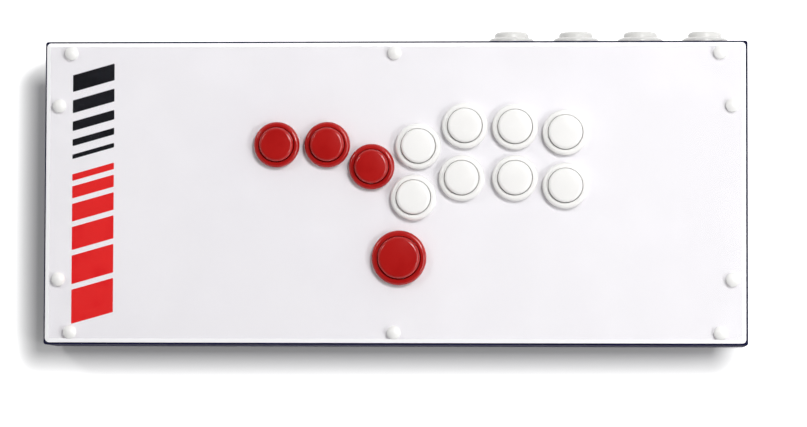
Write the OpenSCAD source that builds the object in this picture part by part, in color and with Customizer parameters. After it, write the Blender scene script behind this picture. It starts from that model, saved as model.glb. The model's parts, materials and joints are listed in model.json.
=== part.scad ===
// All-button arcade controller panel.
// Millimetres, +Z up. The origin is the middle of the whole outline, on the surface that the feet stand on.
// +Y is towards the rear wall, +X is to the right of the player.

/* [Case] */
// Width of the folded steel case, left to right
case_w = 413; // [400:1:520]
// Depth of the folded steel case, front to rear
case_d = 178.5; // [170:0.5:240]
// Height of the folded steel case
case_h = 48; // [46:0.5:90]
// Thickness of the folded steel
steel_t = 1.5; // [1:0.1:2]
// Radius of the upright corners of the case
case_corner_r = 1.5; // [1:0.1:5]
// Width of the lips that turn in along the bottom of the walls
lip_w = 12; // [11:0.5:18]
// Thickness of the base plate
base_t = 1.5; // [1:0.1:3]
// How far the base plate stops short of the case walls
base_inset = 0.5; // [0:0.1:1.5]

/* [Clear panel] */
// Thickness of the clear panel
panel_t = 2.5; // [2:0.1:4]
// How far the clear panel stops short of the case walls
panel_inset = 1.2; // [0.5:0.1:3]
// Corner radius of the clear panel
panel_corner_r = 2.5; // [2:0.1:8]
// Width of the bevel along the top edge of the clear panel
panel_bevel_w = 2.2; // [0.5:0.1:2.6]
// Height of the bevel along the top edge of the clear panel
panel_bevel_h = 1; // [0.3:0.1:1.5]
// Thickness of the printed art sheet
art_t = 0.3; // [0.2:0.05:0.6]
// How far the art sheet stops short of the case walls
art_inset = 1.5; // [1:0.1:4]
// Air film between the art sheet and the clear panel
film_gap = 0.1; // [0.05:0.05:0.3]

/* [Panel screws] */
// Diameter of the domed screw heads
screw_head_d = 8; // [6:0.1:9]
// Height of the domed screw heads
screw_head_h = 2.3; // [1.5:0.1:3]
// Diameter of the panel screw shanks
screw_d = 4; // [3:0.1:5]
// Distance of the front and rear screw rows from the case walls
screw_row_inset = 7.25; // [7:0.25:12]
// Distance of the corner screws from the side walls
corner_screw_inset = 16; // [12:0.5:30]
// Distance of the side screws from the side walls
side_screw_inset = 9; // [8:0.25:14]
// Distance of the side screws from the middle of the panel
side_screw_y = 51; // [30:1:60]
// Length of the press nuts under the steel
press_nut_l = 3; // [2:0.5:5]

/* [Finger buttons] */
// Diameter of the panel hole of a finger button
finger_hole_d = 24; // [23:0.1:30]
// How far the rim of a finger button reaches past its hole
finger_overlap = 1.4; // [1.2:0.05:3]
// How much narrower than its hole the cap of a finger button is
finger_cap_step = 4; // [3.8:0.1:6]
// Travel of a finger button
finger_travel = 2.6; // [1.5:0.1:3]
// Gap between the rims of neighbouring finger buttons
finger_gap = 3.2; // [1:0.1:6]

/* [Thumb button] */
// Diameter of the panel hole of the thumb button
thumb_hole_d = 30; // [26:0.1:36]
// How far the rim of the thumb button reaches past its hole
thumb_overlap = 1.05; // [0.9:0.05:3]
// How much narrower than its hole the cap of the thumb button is
thumb_cap_step = 5.3; // [3.8:0.1:8]
// Travel of the thumb button
thumb_travel = 3; // [1.5:0.1:3.4]

/* [Rear buttons] */
// Distance between neighbouring rear buttons
rear_pitch = 38; // [30:0.5:42]
// Distance of the last rear button from the right wall
rear_end_inset = 24.5; // [20:0.5:40]
// Depth of the rear buttons' middle below the top of the case
rear_drop = 20; // [17:0.5:22]

/* [Button shape] */
// Height of a button's rim above the surface that it sits on
flange_h = 3.2; // [2:0.1:4.5]
// Radius of the rounded outer edge of a rim
flange_round = 2; // [0.8:0.1:2.4]
// Height of a cap's top above the surface that the button sits on
cap_rise = 7; // [6.2:0.1:9]
// Radius of a cap's rounded edge
cap_edge_r = 2; // [0.6:0.1:2.4]
// Radius of the shallow dome on a cap
cap_dome_r = 120; // [60:5:400]
// Wall of a cap
cap_wall = 1.2; // [0.8:0.1:1.8]
// Slot between a cap and its rim
cap_gap = 0.35; // [0.3:0.05:0.6]
// Length of a housing below its rim
barrel_l = 21; // [20:0.5:26]
// Wall of a housing's barrel
barrel_wall = 0.95; // [0.8:0.05:1.2]
// Gap between a barrel and its panel hole
barrel_gap = 0.1; // [0.05:0.05:0.4]
// Thickness of a housing's floor
floor_t = 1.5; // [1:0.1:2.5]
// Width of the snap barbs on a barrel
barb_w = 5; // [3:0.5:8]
// How far a snap barb stands out of its barrel
barb_out = 1; // [0.5:0.1:1.2]

/* [Switches] */
// Length of a microswitch
switch_l = 20; // [18:0.1:20]
// Width of a microswitch
switch_w = 6.4; // [5:0.1:6.6]
// Height of a microswitch
switch_h = 9.5; // [8:0.1:10]
// Diameter of a switch's nib
nib_d = 2.4; // [1.6:0.1:3]
// Distance between a switch's two terminals
terminal_pitch = 6.4; // [5.6:0.1:9]
// Width of a terminal blade
terminal_w = 2.8; // [2:0.1:4]
// Thickness of a terminal blade
terminal_t = 0.5; // [0.4:0.1:0.8]
// Length of a terminal blade below its housing
terminal_l = 6.5; // [5:0.5:8]
// Length of a push-on wire receptacle
receptacle_l = 8; // [7:0.5:9]

/* [Feet] */
// Diameter of a rubber foot at the top
foot_d = 22; // [16:0.5:30]
// Height of a rubber foot
foot_h = 5; // [4.5:0.5:12]
// Distance of the feet from the side, front and rear walls
foot_inset = 32; // [28:1:50]
// Diameter of the small screws in the feet, base and board
small_screw_d = 3; // [2.5:0.1:4]

/* [Control board] */
// Length of the control board
board_l = 80; // [70:1:110]
// Width of the control board
board_w = 50; // [46:1:60]
// Thickness of the control board
board_t = 1.6; // [1:0.1:2]
// Space between the loom plug and the wires of the leftmost button
board_gap = 5; // [2:0.5:10]
// Height of the standoffs under the control board
standoff_h = 5; // [4:0.5:10]
// Diameter of the main loom
loom_d = 10; // [8:0.5:12]
// Diameter of the rear branch of the loom
branch_d = 6; // [5:0.5:7]
// Diameter of a single wire
wire_d = 1.5; // [1.2:0.1:1.8]
// Diameter of the inner lead to the inlet
lead_d = 4; // [3:0.1:5]

/* [Lead inlet] */
// Distance from the left wall to the middle of the lead inlet
inlet_from_left = 76.5; // [60:0.5:120]
// Diameter of the inlet's nose
inlet_nose_d = 22; // [20:0.1:23]
// Width of the recess in the inlet
recess_w = 12.4; // [11:0.1:13]
// Height of the recess in the inlet
recess_h = 11.2; // [10:0.1:12]
// Depth of the recess in the inlet
recess_depth = 8; // [6:0.5:10]
// Depth of the socket behind the recess
socket_l = 12; // [10:0.5:14]

/* [Hidden] */

panel_top_corner_r = max(panel_corner_r - panel_bevel_w, 0.3);
$fn = 48;
// Clearance of a screw in a hole that it passes through, and in a nut
hole_gap = 0.25;
nut_gap = 0.05;
// Clearance of one still piece inside another
fit_gap = 0.1;
// Space that keeps a moving piece off what it doesn't ride in
rest_gap = 0.3;
// How far a cut runs past the face that it opens
past = 1;

// Places of the finger buttons, in units of the finger pitch from the middle of the panel
ARROW_PLACES = [[-2.30, 0.93], [-1.31, 0.93], [-0.44, 0.50]];
ACTION_PLACES = [
    [0.47, 0.90], [1.38, 1.30], [2.36, 1.28], [3.34, 1.17],
    [0.38, -0.10], [1.32, 0.28], [2.36, 0.28], [3.34, 0.13],
];
THUMB_PLACE = [0.10, -1.28];
REAR_COUNT = 4;

// Numbers of the buttons: arrows first, then the thumb button, the actions and the rear row
THUMB = len(ARROW_PLACES);
FIRST_ACTION = THUMB + 1;
FIRST_REAR = FIRST_ACTION + len(ACTION_PLACES);
BUTTONS = concat(
    ["left", "down", "right", "up"],
    [for (k = [1:len(ACTION_PLACES)]) str("action_", k)],
    [for (k = [1:REAR_COUNT]) str("rear_", k)]
);
LAST = len(BUTTONS) - 1;

// Levels, from the ground up
base_z = foot_h;
case_z = base_z + base_t;
lip_top_z = case_z + steel_t;
case_top_z = case_z + case_h;
art_z = case_top_z;
panel_z = art_z + art_t + film_gap;
panel_top_z = panel_z + panel_t;
rear_z = case_top_z - rear_drop;
board_z = case_z + standoff_h;
board_top_z = board_z + board_t;

// The rear caps stand out behind the case, so the case sits forward of the origin by half of that
case_y = -cap_rise / 2;
rear_face_y = case_y + case_d / 2;
inner_rear_y = rear_face_y - steel_t;
finger_pitch = finger_hole_d + 2 * finger_overlap + finger_gap;
panel_grip = panel_top_z - case_top_z + steel_t;

// Where the outside meets the parts of a button, by the button's number
function is_thumb(i) = i == THUMB;
function is_rear(i) = i >= FIRST_REAR;
function place(i) =
    i < THUMB ? ARROW_PLACES[i] :
    is_thumb(i) ? THUMB_PLACE :
    ACTION_PLACES[i - FIRST_ACTION];
function button_x(i) =
    is_rear(i) ? case_w / 2 - rear_end_inset - (LAST - i) * rear_pitch : place(i)[0] * finger_pitch;
function button_y(i) = is_rear(i) ? rear_face_y : case_y + place(i)[1] * finger_pitch;
function hole_r(i) = (is_thumb(i) ? thumb_hole_d : finger_hole_d) / 2;
function flange_r(i) = hole_r(i) + (is_thumb(i) ? thumb_overlap : finger_overlap);
function cap_r(i) = hole_r(i) - (is_thumb(i) ? thumb_cap_step : finger_cap_step) / 2;
function grip(i) = is_rear(i) ? steel_t : panel_grip;
function button_color(i) = i < FIRST_ACTION ? "firebrick" : "whitesmoke";

// Depths inside a button, from the surface that it sits on
shoulder_z = -3;
rim_h = 1.2;
rim_z = shoulder_z - rest_gap - rim_h;
switch_z = -barrel_l + floor_t;
switch_top_z = switch_z + switch_h;
most_travel = max(finger_travel, thumb_travel);
nib_top_z = switch_top_z + most_travel + rest_gap;
nib_sunk = 1;
nib_gap = 0.4;
nib_pocket = nib_sunk + most_travel + rest_gap;
post_r = nib_d / 2 + 1;
post_z = nib_top_z + fit_gap;
receptacle_z = -barrel_l - fit_gap - receptacle_l;
receptacle_w = terminal_w + 2;
receptacle_t = terminal_t + 2.6;

// Where the screws stand
PANEL_SCREWS = concat(
    [for (sx = [-1, 0, 1], sy = [-1, 1])
        [sx * (case_w / 2 - corner_screw_inset), case_y + sy * (case_d / 2 - screw_row_inset)]],
    [for (sx = [-1, 1], sy = [-1, 1])
        [sx * (case_w / 2 - side_screw_inset), case_y + sy * side_screw_y]]
);
base_screw_inset = steel_t + lip_w / 2;
base_screw_corner = 20;
BASE_SCREWS = concat(
    [for (sx = [-1, 0, 1], sy = [-1, 1])
        [sx * (case_w / 2 - base_screw_corner), case_y + sy * (case_d / 2 - base_screw_inset)]],
    [for (sx = [-1, 1]) [sx * (case_w / 2 - base_screw_inset), case_y]]
);
FEET = [for (sx = [-1, 1], sy = [-1, 1])
    [sx * (case_w / 2 - foot_inset), case_y + sy * (case_d / 2 - foot_inset)]];
small_head_d = 1.85 * small_screw_d;
small_head_h = 0.55 * small_screw_d;
small_nut_d = 1.9 * small_screw_d;
small_nut_h = 0.8 * small_screw_d;
press_nut_d = screw_d + 3.5;

// The control board and what joins it
plug_l = 12;
board_x = button_x(0) - (terminal_pitch + wire_d + board_l) / 2 - board_gap - plug_l;
loom_y = case_y + 23;
board_hole_inset = 4;
BOARD_HOLES = [for (sx = [-1, 1], sy = [-1, 1])
    [board_x + sx * (board_l / 2 - board_hole_inset), loom_y + sy * (board_w / 2 - board_hole_inset)]];
header_l = 9;
header_w = 34;
header_h = max(9, loom_d);
header_x = board_x + board_l / 2 - header_l;
plug_x = header_x + header_l;
pin_l = 4;
loom_z = board_top_z + header_h / 2;
loom_start_x = plug_x + plug_l;
loom_end_x = button_x(FIRST_REAR - 1) + terminal_pitch;
branch_y = case_y + 52;
branch_end_x = button_x(LAST) + terminal_pitch;
branch_turn = 12;
branch_join_x = loom_start_x + 2 * loom_d;
SMALL_HEADER = [14, 6, 8];
small_header_x = board_x - 18;
small_header_y = loom_y + board_w / 2 - SMALL_HEADER[1] - 1;

// The lead inlet
inlet_x = -case_w / 2 + inlet_from_left;
inlet_flange = [26, 31];
inlet_flange_t = 2;
inlet_screw = [9.5, 12];
inlet_body_l = recess_depth + socket_l - steel_t - fit_gap;
socket_wall = 1.2;

// Outlines and profiles

function arc(centre, r, from, to, steps) = [
    for (k = [0:steps])
        centre + r * [cos(from + (to - from) * k / steps), sin(from + (to - from) * k / steps)]
];

// A rectangle with round corners, about the middle of the case
module outline(w, d, r) {
    translate([0, case_y])
        polygon([
            for (q = [0:3])
                each arc(
                    [(q == 0 || q == 3 ? 1 : -1) * (w / 2 - r), (q < 2 ? 1 : -1) * (d / 2 - r)],
                    r, 90 * q, 90 * q + 90, 6
                )
        ]);
}

module slab(z, h, inset, r) {
    translate([0, 0, z])
        linear_extrude(h)
            outline(case_w - 2 * inset, case_d - 2 * inset, r);
}

module each_at(places, z) {
    for (p = places)
        translate([p[0], p[1], z])
            children();
}

// Puts a shape at a button: its +Z looks out of the surface that the button sits on
module at_button(i) {
    if (is_rear(i))
        translate([button_x(i), rear_face_y, rear_z])
            rotate([-90, 0, 0])
                children();
    else
        translate([button_x(i), button_y(i), panel_top_z])
            children();
}

// Half of a cap: a domed top with a round edge, a skirt with a stop rim, and the post that meets the nib
module cap_profile(r, stop_r) {
    dome_reach = (r - cap_edge_r) / (1 - cap_edge_r / cap_dome_r);
    slope = asin(dome_reach / cap_dome_r);
    edge = [r - cap_edge_r, cap_rise - cap_dome_r + (cap_dome_r - cap_edge_r) * cos(slope)];
    under = edge[1] + cap_edge_r - cap_wall;
    polygon(concat(
        arc([0, cap_rise - cap_dome_r], cap_dome_r, 90, 90 - slope, 5),
        arc(edge, cap_edge_r, 90 - slope - 15, 0, 5),
        [
            [r, rim_z + rim_h], [stop_r, rim_z + rim_h], [stop_r, rim_z], [r - cap_wall, rim_z],
            [r - cap_wall, under], [post_r, under], [post_r, post_z], [0, post_z],
        ]
    ));
}

// Half of a housing: a rim with a round outer edge, a barrel with a shoulder inside, and a floor
module housing_profile(bore_r, rim_r, barrel_r) {
    lead_in = 0.3;
    foot_edge = 0.2;
    wide_r = barrel_r - barrel_wall;
    polygon(concat(
        [[bore_r, shoulder_z], [bore_r, flange_h - lead_in], [bore_r + lead_in, flange_h]],
        arc([rim_r - flange_round, flange_h - flange_round], flange_round, 90, 0, 8),
        [
            [rim_r, foot_edge], [rim_r - foot_edge, 0], [barrel_r, 0], [barrel_r, -barrel_l],
            [0, -barrel_l], [0, switch_z], [wide_r, switch_z], [wide_r, shoulder_z],
        ]
    ));
}

// A round-headed screw standing on z = 0, its shank pointing down
module dome_screw(head_d, head_h, shank_d, shank_l) {
    edge_h = 0.4;
    dome_h = head_h - edge_h;
    dome_r = (pow(head_d / 2, 2) + pow(dome_h, 2)) / (2 * dome_h);
    rotate_extrude()
        polygon(concat(
            [[0, -shank_l], [shank_d / 2, -shank_l], [shank_d / 2, 0], [head_d / 2, 0]],
            arc([0, head_h - dome_r], dome_r, asin((dome_r - dome_h) / dome_r), 90, 8)
        ));
}

// A small round-headed screw with a hexagon socket
module small_screw(shank_l) {
    difference() {
        dome_screw(small_head_d, small_head_h, small_screw_d, shank_l);
        translate([0, 0, small_head_h / 2])
            cylinder(d = 0.75 * small_screw_d, h = small_head_h, $fn = 6);
    }
}

module nut(outer_d, bore_d, h) {
    difference() {
        cylinder(d = outer_d, h = h, $fn = 6);
        translate([0, 0, -past])
            cylinder(d = bore_d, h = h + 2 * past);
    }
}

// A round wire along a route: rings of points, square to the way that the route turns at each point
function unit(v) = v / norm(v);
function route_way(route, k) =
    unit(
        (k == 0 ? [0, 0, 0] : unit(route[k] - route[k - 1]))
        + (k == len(route) - 1 ? [0, 0, 0] : unit(route[k + 1] - route[k]))
    );
function ring(centre, way, side, r, sides) =
    let (u = unit(cross(way, side)), v = cross(u, way))
    [for (a = [0:sides - 1]) centre + r * (u * cos(360 * a / sides) + v * sin(360 * a / sides))];

module wire(route, d, side) {
    sides = 8;
    rings = len(route);
    points = [for (k = [0:rings - 1]) each ring(route[k], route_way(route, k), side, d / 2, sides)];
    walls = [
        for (k = [0:rings - 2], a = [0:sides - 1])
            let (b = (a + 1) % sides, low = k * sides, high = low + sides)
            each [[low + a, low + b, high + b], [low + a, high + b, high + a]]
    ];
    first = [for (a = [sides - 1:-1:0]) a];
    last = [for (a = [0:sides - 1]) (rings - 1) * sides + a];
    polyhedron(points, concat([first], walls, [last]));
}

// Case

module case_shell() {
    color("midnightblue")
        difference() {
            slab(case_z, case_h, 0, case_corner_r);
            slab(lip_top_z, case_h - 2 * steel_t, steel_t, case_corner_r / 2);
            slab(case_z - past, steel_t + 2 * past, steel_t + lip_w, case_corner_r);
            for (i = [0:LAST])
                at_button(i)
                    translate([0, 0, -grip(i) - past])
                        cylinder(r = hole_r(i), h = grip(i) + 2 * past);
            each_at(PANEL_SCREWS, case_top_z - steel_t - past)
                cylinder(d = screw_d + 2 * hole_gap, h = steel_t + 2 * past);
            each_at(BASE_SCREWS, case_z - past)
                cylinder(d = small_screw_d + 2 * hole_gap, h = steel_t + 2 * past);
            at_inlet() {
                translate([0, 0, -steel_t - past])
                    cylinder(d = inlet_nose_d + 2 * fit_gap, h = steel_t + 2 * past);
                inlet_screw_places() {
                    translate([0, 0, -steel_t - past])
                        cylinder(d = small_screw_d + 2 * hole_gap, h = steel_t + 2 * past);
                    countersink(fit_gap);
                }
            }
        }
}

module base_plate() {
    color("midnightblue")
        difference() {
            slab(base_z, base_t, base_inset, case_corner_r);
            each_at(concat(BASE_SCREWS, FEET), base_z - past)
                cylinder(d = small_screw_d + 2 * hole_gap, h = base_t + 2 * past);
            each_at(BOARD_HOLES, base_z - past)
                cylinder(d = small_screw_d + 2 + 2 * fit_gap, h = base_t + 2 * past);
        }
}

module base_screws() {
    color("gray")
        each_at(BASE_SCREWS, base_z)
            rotate([180, 0, 0])
                small_screw(base_t + steel_t + small_nut_h + 1);
}

module base_nuts() {
    color("silver")
        each_at(BASE_SCREWS, lip_top_z)
            nut(small_nut_d, small_screw_d + 2 * nut_gap, small_nut_h);
}

foot_recess_h = small_head_h + 0.85;
foot_taper = 1;

module rubber_feet() {
    color("black")
        each_at(FEET, 0)
            difference() {
                rotate_extrude()
                    polygon(concat(
                        [[0, 0]],
                        arc([foot_d / 2 - 2 * foot_taper, foot_taper], foot_taper, -90, 0, 4),
                        [[foot_d / 2, foot_h], [0, foot_h]]
                    ));
                translate([0, 0, -past])
                    cylinder(d = small_head_d + 2, h = foot_recess_h + past);
                cylinder(d = small_screw_d + 2 * hole_gap, h = foot_h + past);
            }
}

module foot_screws() {
    color("gray")
        each_at(FEET, foot_recess_h)
            rotate([180, 0, 0])
                small_screw(foot_h - foot_recess_h + base_t + small_nut_h + 1);
}

module foot_nuts() {
    color("silver")
        each_at(FEET, case_z)
            nut(small_nut_d, small_screw_d + 2 * nut_gap, small_nut_h);
}

// Top

module art_sheet() {
    color("white")
        difference() {
            slab(art_z, art_t, art_inset, panel_corner_r / 2);
            top_holes(art_z, art_t);
        }
}

module clear_panel() {
    color("lavender", 0.4)
        difference() {
            hull() {
                slab(panel_z, panel_t - panel_bevel_h, panel_inset, panel_corner_r);
                slab(panel_z, panel_t, panel_inset + panel_bevel_w, panel_top_corner_r);
            }
            top_holes(panel_z, panel_t);
        }
}

// The holes that the sheets on top share, for buttons and panel screws
module top_holes(z, t) {
    for (i = [0:FIRST_REAR - 1])
        translate([button_x(i), button_y(i), z - past])
            cylinder(r = hole_r(i), h = t + 2 * past);
    each_at(PANEL_SCREWS, z - past)
        cylinder(d = screw_d + 2 * hole_gap, h = t + 2 * past);
}

module panel_screws() {
    color("whitesmoke")
        each_at(PANEL_SCREWS, panel_top_z)
            dome_screw(screw_head_d, screw_head_h, screw_d, panel_grip + press_nut_l + 1);
}

module press_nuts() {
    color("silver")
        each_at(PANEL_SCREWS, case_top_z - steel_t - press_nut_l)
            difference() {
                cylinder(d = press_nut_d, h = press_nut_l);
                translate([0, 0, -past])
                    cylinder(d = screw_d + 2 * nut_gap, h = press_nut_l + 2 * past);
            }
}

// Buttons

module button_cap(i) {
    color(button_color(i))
        at_button(i) {
            rotate_extrude()
                cap_profile(cap_r(i), hole_r(i) - barrel_gap - barrel_wall - cap_gap);
            translate([0, 0, switch_top_z - nib_sunk])
                cylinder(d = nib_d, h = nib_top_z - switch_top_z + nib_sunk);
        }
}

module button_housing(i) {
    barrel_r = hole_r(i) - barrel_gap;
    barb_h = 4;
    color(button_color(i))
        at_button(i)
            difference() {
                union() {
                    rotate_extrude()
                        housing_profile(cap_r(i) + cap_gap, flange_r(i), barrel_r);
                    for (turn = [90, 270])
                        rotate([0, 0, turn])
                            translate([barrel_r, barb_w / 2, -grip(i) - fit_gap])
                                rotate([90, 0, 0])
                                    linear_extrude(barb_w)
                                        polygon([
                                            [-barrel_wall, 0], [barb_out, 0], [barb_out, -barb_h / 4],
                                            [0, -barb_h], [-barrel_wall, -barb_h],
                                        ]);
                }
                for (s = [-1, 1])
                    translate([s * terminal_pitch / 2, 0, -barrel_l])
                        cube(
                            [terminal_t + 4 * fit_gap, terminal_w + 4 * fit_gap, 2 * floor_t + past],
                            center = true
                        );
            }
}

module switch_bodies() {
    color("dimgray")
        for (i = [0:LAST])
            at_button(i)
                difference() {
                    translate([-switch_l / 2, -switch_w / 2, switch_z])
                        cube([switch_l, switch_w, switch_h]);
                    translate([0, 0, switch_top_z - nib_pocket])
                        cylinder(d = nib_d + 2 * nib_gap, h = nib_pocket + past);
                }
}

module switch_terminals() {
    color("goldenrod")
        for (i = [0:LAST], s = [-1, 1])
            at_button(i)
                translate([s * terminal_pitch / 2 - terminal_t / 2, -terminal_w / 2, -barrel_l - terminal_l])
                    cube([terminal_t, terminal_w, terminal_l + floor_t]);
}

module wire_receptacles() {
    slot_l = terminal_l;
    color("red")
        for (i = [0:LAST], s = [-1, 1])
            at_button(i)
                translate([s * terminal_pitch / 2, 0, receptacle_z])
                    difference() {
                        translate([-receptacle_t / 2, -receptacle_w / 2, 0])
                            cube([receptacle_t, receptacle_w, receptacle_l]);
                        translate([0, 0, receptacle_l - slot_l / 2 + past / 2])
                            cube(
                                [terminal_t + fit_gap, terminal_w + fit_gap, slot_l + past],
                                center = true
                            );
                    }
}

// Wiring

// The route of a switch's wire: straight out of its receptacle, then across to the side of its loom
lead_out = min(2, (panel_top_z + receptacle_z - loom_z - loom_d / 2) / 3);
function switch_route(start, out, aim, loom_r) =
    let (
        turn = start + lead_out * out,
        way = unit(aim - turn),
        across = norm(aim - turn) - loom_r - rest_gap,
        bend = min(2 * wire_d, across / 2)
    )
    [start, turn, turn + bend * unit(way + out), turn + across * way];
function wire_route(i, x) =
    is_rear(i) ?
        switch_route(
            [x, rear_face_y + receptacle_z, rear_z], [0, -1, 0], [x, branch_y, loom_z], branch_d / 2
        ) :
        switch_route(
            [x, button_y(i), panel_top_z + receptacle_z], [0, 0, -1], [x, loom_y, loom_z], loom_d / 2
        );

module branch_wires() {
    color("gold")
        for (i = [0:LAST], s = [-1, 1])
            wire(wire_route(i, button_x(i) + s * terminal_pitch / 2), wire_d, [1, 0, 0]);
}

module loom_sleeve() {
    color("black") {
        translate([loom_start_x, loom_y, loom_z])
            rotate([0, 90, 0])
                cylinder(d = loom_d, h = loom_end_x - loom_start_x);
        wire(
            [
                [branch_end_x, branch_y, loom_z],
                [branch_join_x + branch_turn, branch_y, loom_z],
                [branch_join_x + 0.3 * branch_turn, branch_y - 0.3 * branch_turn, loom_z],
                [branch_join_x, branch_y - branch_turn, loom_z],
                [branch_join_x, loom_y + loom_d / 2 + fit_gap, loom_z],
            ],
            branch_d, [0, 0, 1]
        );
    }
}

// A saddle on the base plate that holds a loom of diameter d
module saddle(d) {
    clip_l = 9;
    clip_wall = 2;
    foot_w = d + 10;
    foot_t = 2;
    rise = loom_z - case_z;
    rotate([90, 0, 90])
        linear_extrude(clip_l, center = true)
            difference() {
                union() {
                    translate([-foot_w / 2, 0])
                        square([foot_w, foot_t]);
                    translate([-d / 2 - clip_wall, 0])
                        square([d + 2 * clip_wall, rise]);
                    translate([0, rise])
                        circle(d = d + 2 * clip_wall);
                }
                translate([0, rise])
                    circle(d = d + fit_gap);
            }
}

// Saddles stand between the buttons, clear of their wires
module cable_clips() {
    color("ivory") {
        for (i = [THUMB - 2, LAST - REAR_COUNT - 2])
            translate([(button_x(i) + button_x(i + 1)) / 2, loom_y, case_z])
                saddle(loom_d);
        for (k = [-1, 0, 2])
            translate([button_x(FIRST_REAR) + (k + 0.5) * rear_pitch, branch_y, case_z])
                saddle(branch_d);
    }
}

// Control board

module control_board() {
    color("darkgreen")
        translate([board_x, loom_y, board_z])
            difference() {
                translate([-board_l / 2, -board_w / 2, 0])
                    cube([board_l, board_w, board_t]);
                translate([-board_x, -loom_y, -past])
                    each_at(BOARD_HOLES, 0)
                        cylinder(d = small_screw_d + 2 * hole_gap, h = board_t + 2 * past);
            }
}

// Chips, capacitors and the crystal: place from the middle of the board, then size
CHIPS = [[-8, -4, 14, 14, 2], [-26, -12, 8, 6, 1.6], [8, 12, 9, 7, 1.8], [-10, 14, 11, 4.5, 3.5]];
CAPACITORS = [[-28, 4, 5, 6], [4, -16, 6.3, 7], [14, -14, 5, 6]];

module board_components() {
    color("dimgray") {
        for (c = CHIPS)
            translate([board_x + c[0] - c[2] / 2, loom_y + c[1] - c[3] / 2, board_top_z])
                cube([c[2], c[3], c[4]]);
        for (c = CAPACITORS)
            translate([board_x + c[0], loom_y + c[1], board_top_z])
                cylinder(d = c[2], h = c[3]);
    }
}

module board_header() {
    box_wall = 1;
    color("black") {
        translate([header_x, loom_y - header_w / 2, board_top_z])
            difference() {
                cube([header_l, header_w, header_h]);
                translate([header_l - pin_l - 1, box_wall, box_wall])
                    cube([pin_l + 1 + past, header_w - 2 * box_wall, header_h - 2 * box_wall]);
            }
        translate([small_header_x - SMALL_HEADER[0] / 2, small_header_y, board_top_z])
            cube(SMALL_HEADER);
    }
}

module loom_plug() {
    key = pin_l;
    key_gap = 0.2;
    key_wall = 1 + key_gap;
    color("black")
        translate([plug_x, loom_y - header_w / 2, board_top_z]) {
            cube([plug_l, header_w, header_h]);
            translate([-key, key_wall, key_wall])
                cube([key, header_w - 2 * key_wall, header_h - 2 * key_wall]);
        }
}

// Standoffs stand on the base plate, each with a spigot pressed into it
module board_standoffs() {
    color("silver")
        each_at(BOARD_HOLES, case_z)
            difference() {
                union() {
                    cylinder(d = small_screw_d + 4, h = standoff_h);
                    translate([0, 0, -base_t])
                        cylinder(d = small_screw_d + 2, h = base_t + 1);
                }
                translate([0, 0, -base_t - past])
                    cylinder(d = small_screw_d + 2 * nut_gap, h = standoff_h + base_t + 2 * past);
            }
}

module board_screws() {
    color("silver")
        each_at(BOARD_HOLES, board_top_z)
            small_screw(board_t + standoff_h - 0.5);
}

// Lead inlet

module at_inlet() {
    translate([inlet_x, rear_face_y, rear_z])
        rotate([-90, 0, 0])
            children();
}

module inlet_screw_places() {
    for (s = [-1, 1])
        translate([s * inlet_screw[0], s * inlet_screw[1], 0])
            children();
}

module countersink(gap) {
    head_r = small_head_d / 2;
    head_h = steel_t - 0.1;
    translate([0, 0, -head_h - gap])
        cylinder(r1 = small_screw_d / 2 + gap, r2 = head_r + gap, h = head_h + 0.001 + gap);
}

module usb_inlet() {
    color("dimgray")
        at_inlet()
            difference() {
                union() {
                    translate([0, 0, -steel_t - inlet_body_l])
                        cylinder(d = inlet_nose_d, h = steel_t + inlet_body_l);
                    translate([0, 0, -steel_t - inlet_flange_t / 2])
                        cube([inlet_flange[0], inlet_flange[1], inlet_flange_t], center = true);
                }
                translate([0, 0, -recess_depth - socket_l - past])
                    linear_extrude(recess_depth + socket_l + 2 * past)
                        square([recess_w, recess_h], center = true);
                inlet_screw_places()
                    translate([0, 0, -steel_t - inlet_flange_t - past])
                        cylinder(d = small_screw_d + 2 * hole_gap, h = inlet_flange_t + 2 * past);
            }
}

module usb_socket() {
    shell_w = recess_w - 2 * fit_gap;
    shell_h = recess_h - 2 * fit_gap;
    tongue = [5.6, 3.2];
    back_t = 2;
    tongue_l = socket_l - back_t - 1;
    at_inlet() {
        color("silver")
            translate([0, 0, -recess_depth - socket_l])
                difference() {
                    linear_extrude(socket_l)
                        square([shell_w, shell_h], center = true);
                    translate([0, 0, back_t])
                        linear_extrude(socket_l)
                            square([shell_w - 2 * socket_wall, shell_h - 2 * socket_wall], center = true);
                }
        color("white")
            translate([0, 0, -recess_depth - socket_l + back_t])
                linear_extrude(tongue_l)
                    square(tongue, center = true);
    }
}

module inlet_screws() {
    shank_l = steel_t + inlet_flange_t + small_nut_h + 1;
    head_r = small_head_d / 2;
    head_h = steel_t - 0.1;
    color("gray")
        at_inlet()
            inlet_screw_places()
                rotate_extrude()
                    polygon([
                        [0, -shank_l], [small_screw_d / 2, -shank_l], [small_screw_d / 2, -head_h],
                        [head_r, 0], [0, 0],
                    ]);
}

module inlet_nuts() {
    color("silver")
        at_inlet()
            inlet_screw_places()
                translate([0, 0, -steel_t - inlet_flange_t - small_nut_h])
                    nut(small_nut_d, small_screw_d + 2 * nut_gap, small_nut_h);
}

// The inner lead runs from the back of the socket to the small header on the board
module usb_lead() {
    start = [inlet_x, rear_face_y - recess_depth - socket_l, rear_z];
    end = [small_header_x, small_header_y + SMALL_HEADER[1], board_top_z + SMALL_HEADER[2] / 2];
    color("black")
        wire(
            [
                start,
                start - [0, 4, 0],
                [start[0] * 0.9 + end[0] * 0.1, start[1] - 9, start[2] - 2],
                [(start[0] + end[0]) / 2, (start[1] + end[1]) / 2, (start[2] + end[2]) / 2],
                [start[0] * 0.1 + end[0] * 0.9, end[1] + 9, end[2] + 2],
                end + [0, 4, 0],
                end,
            ],
            lead_d, [1, 0, 0]
        );
}

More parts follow.
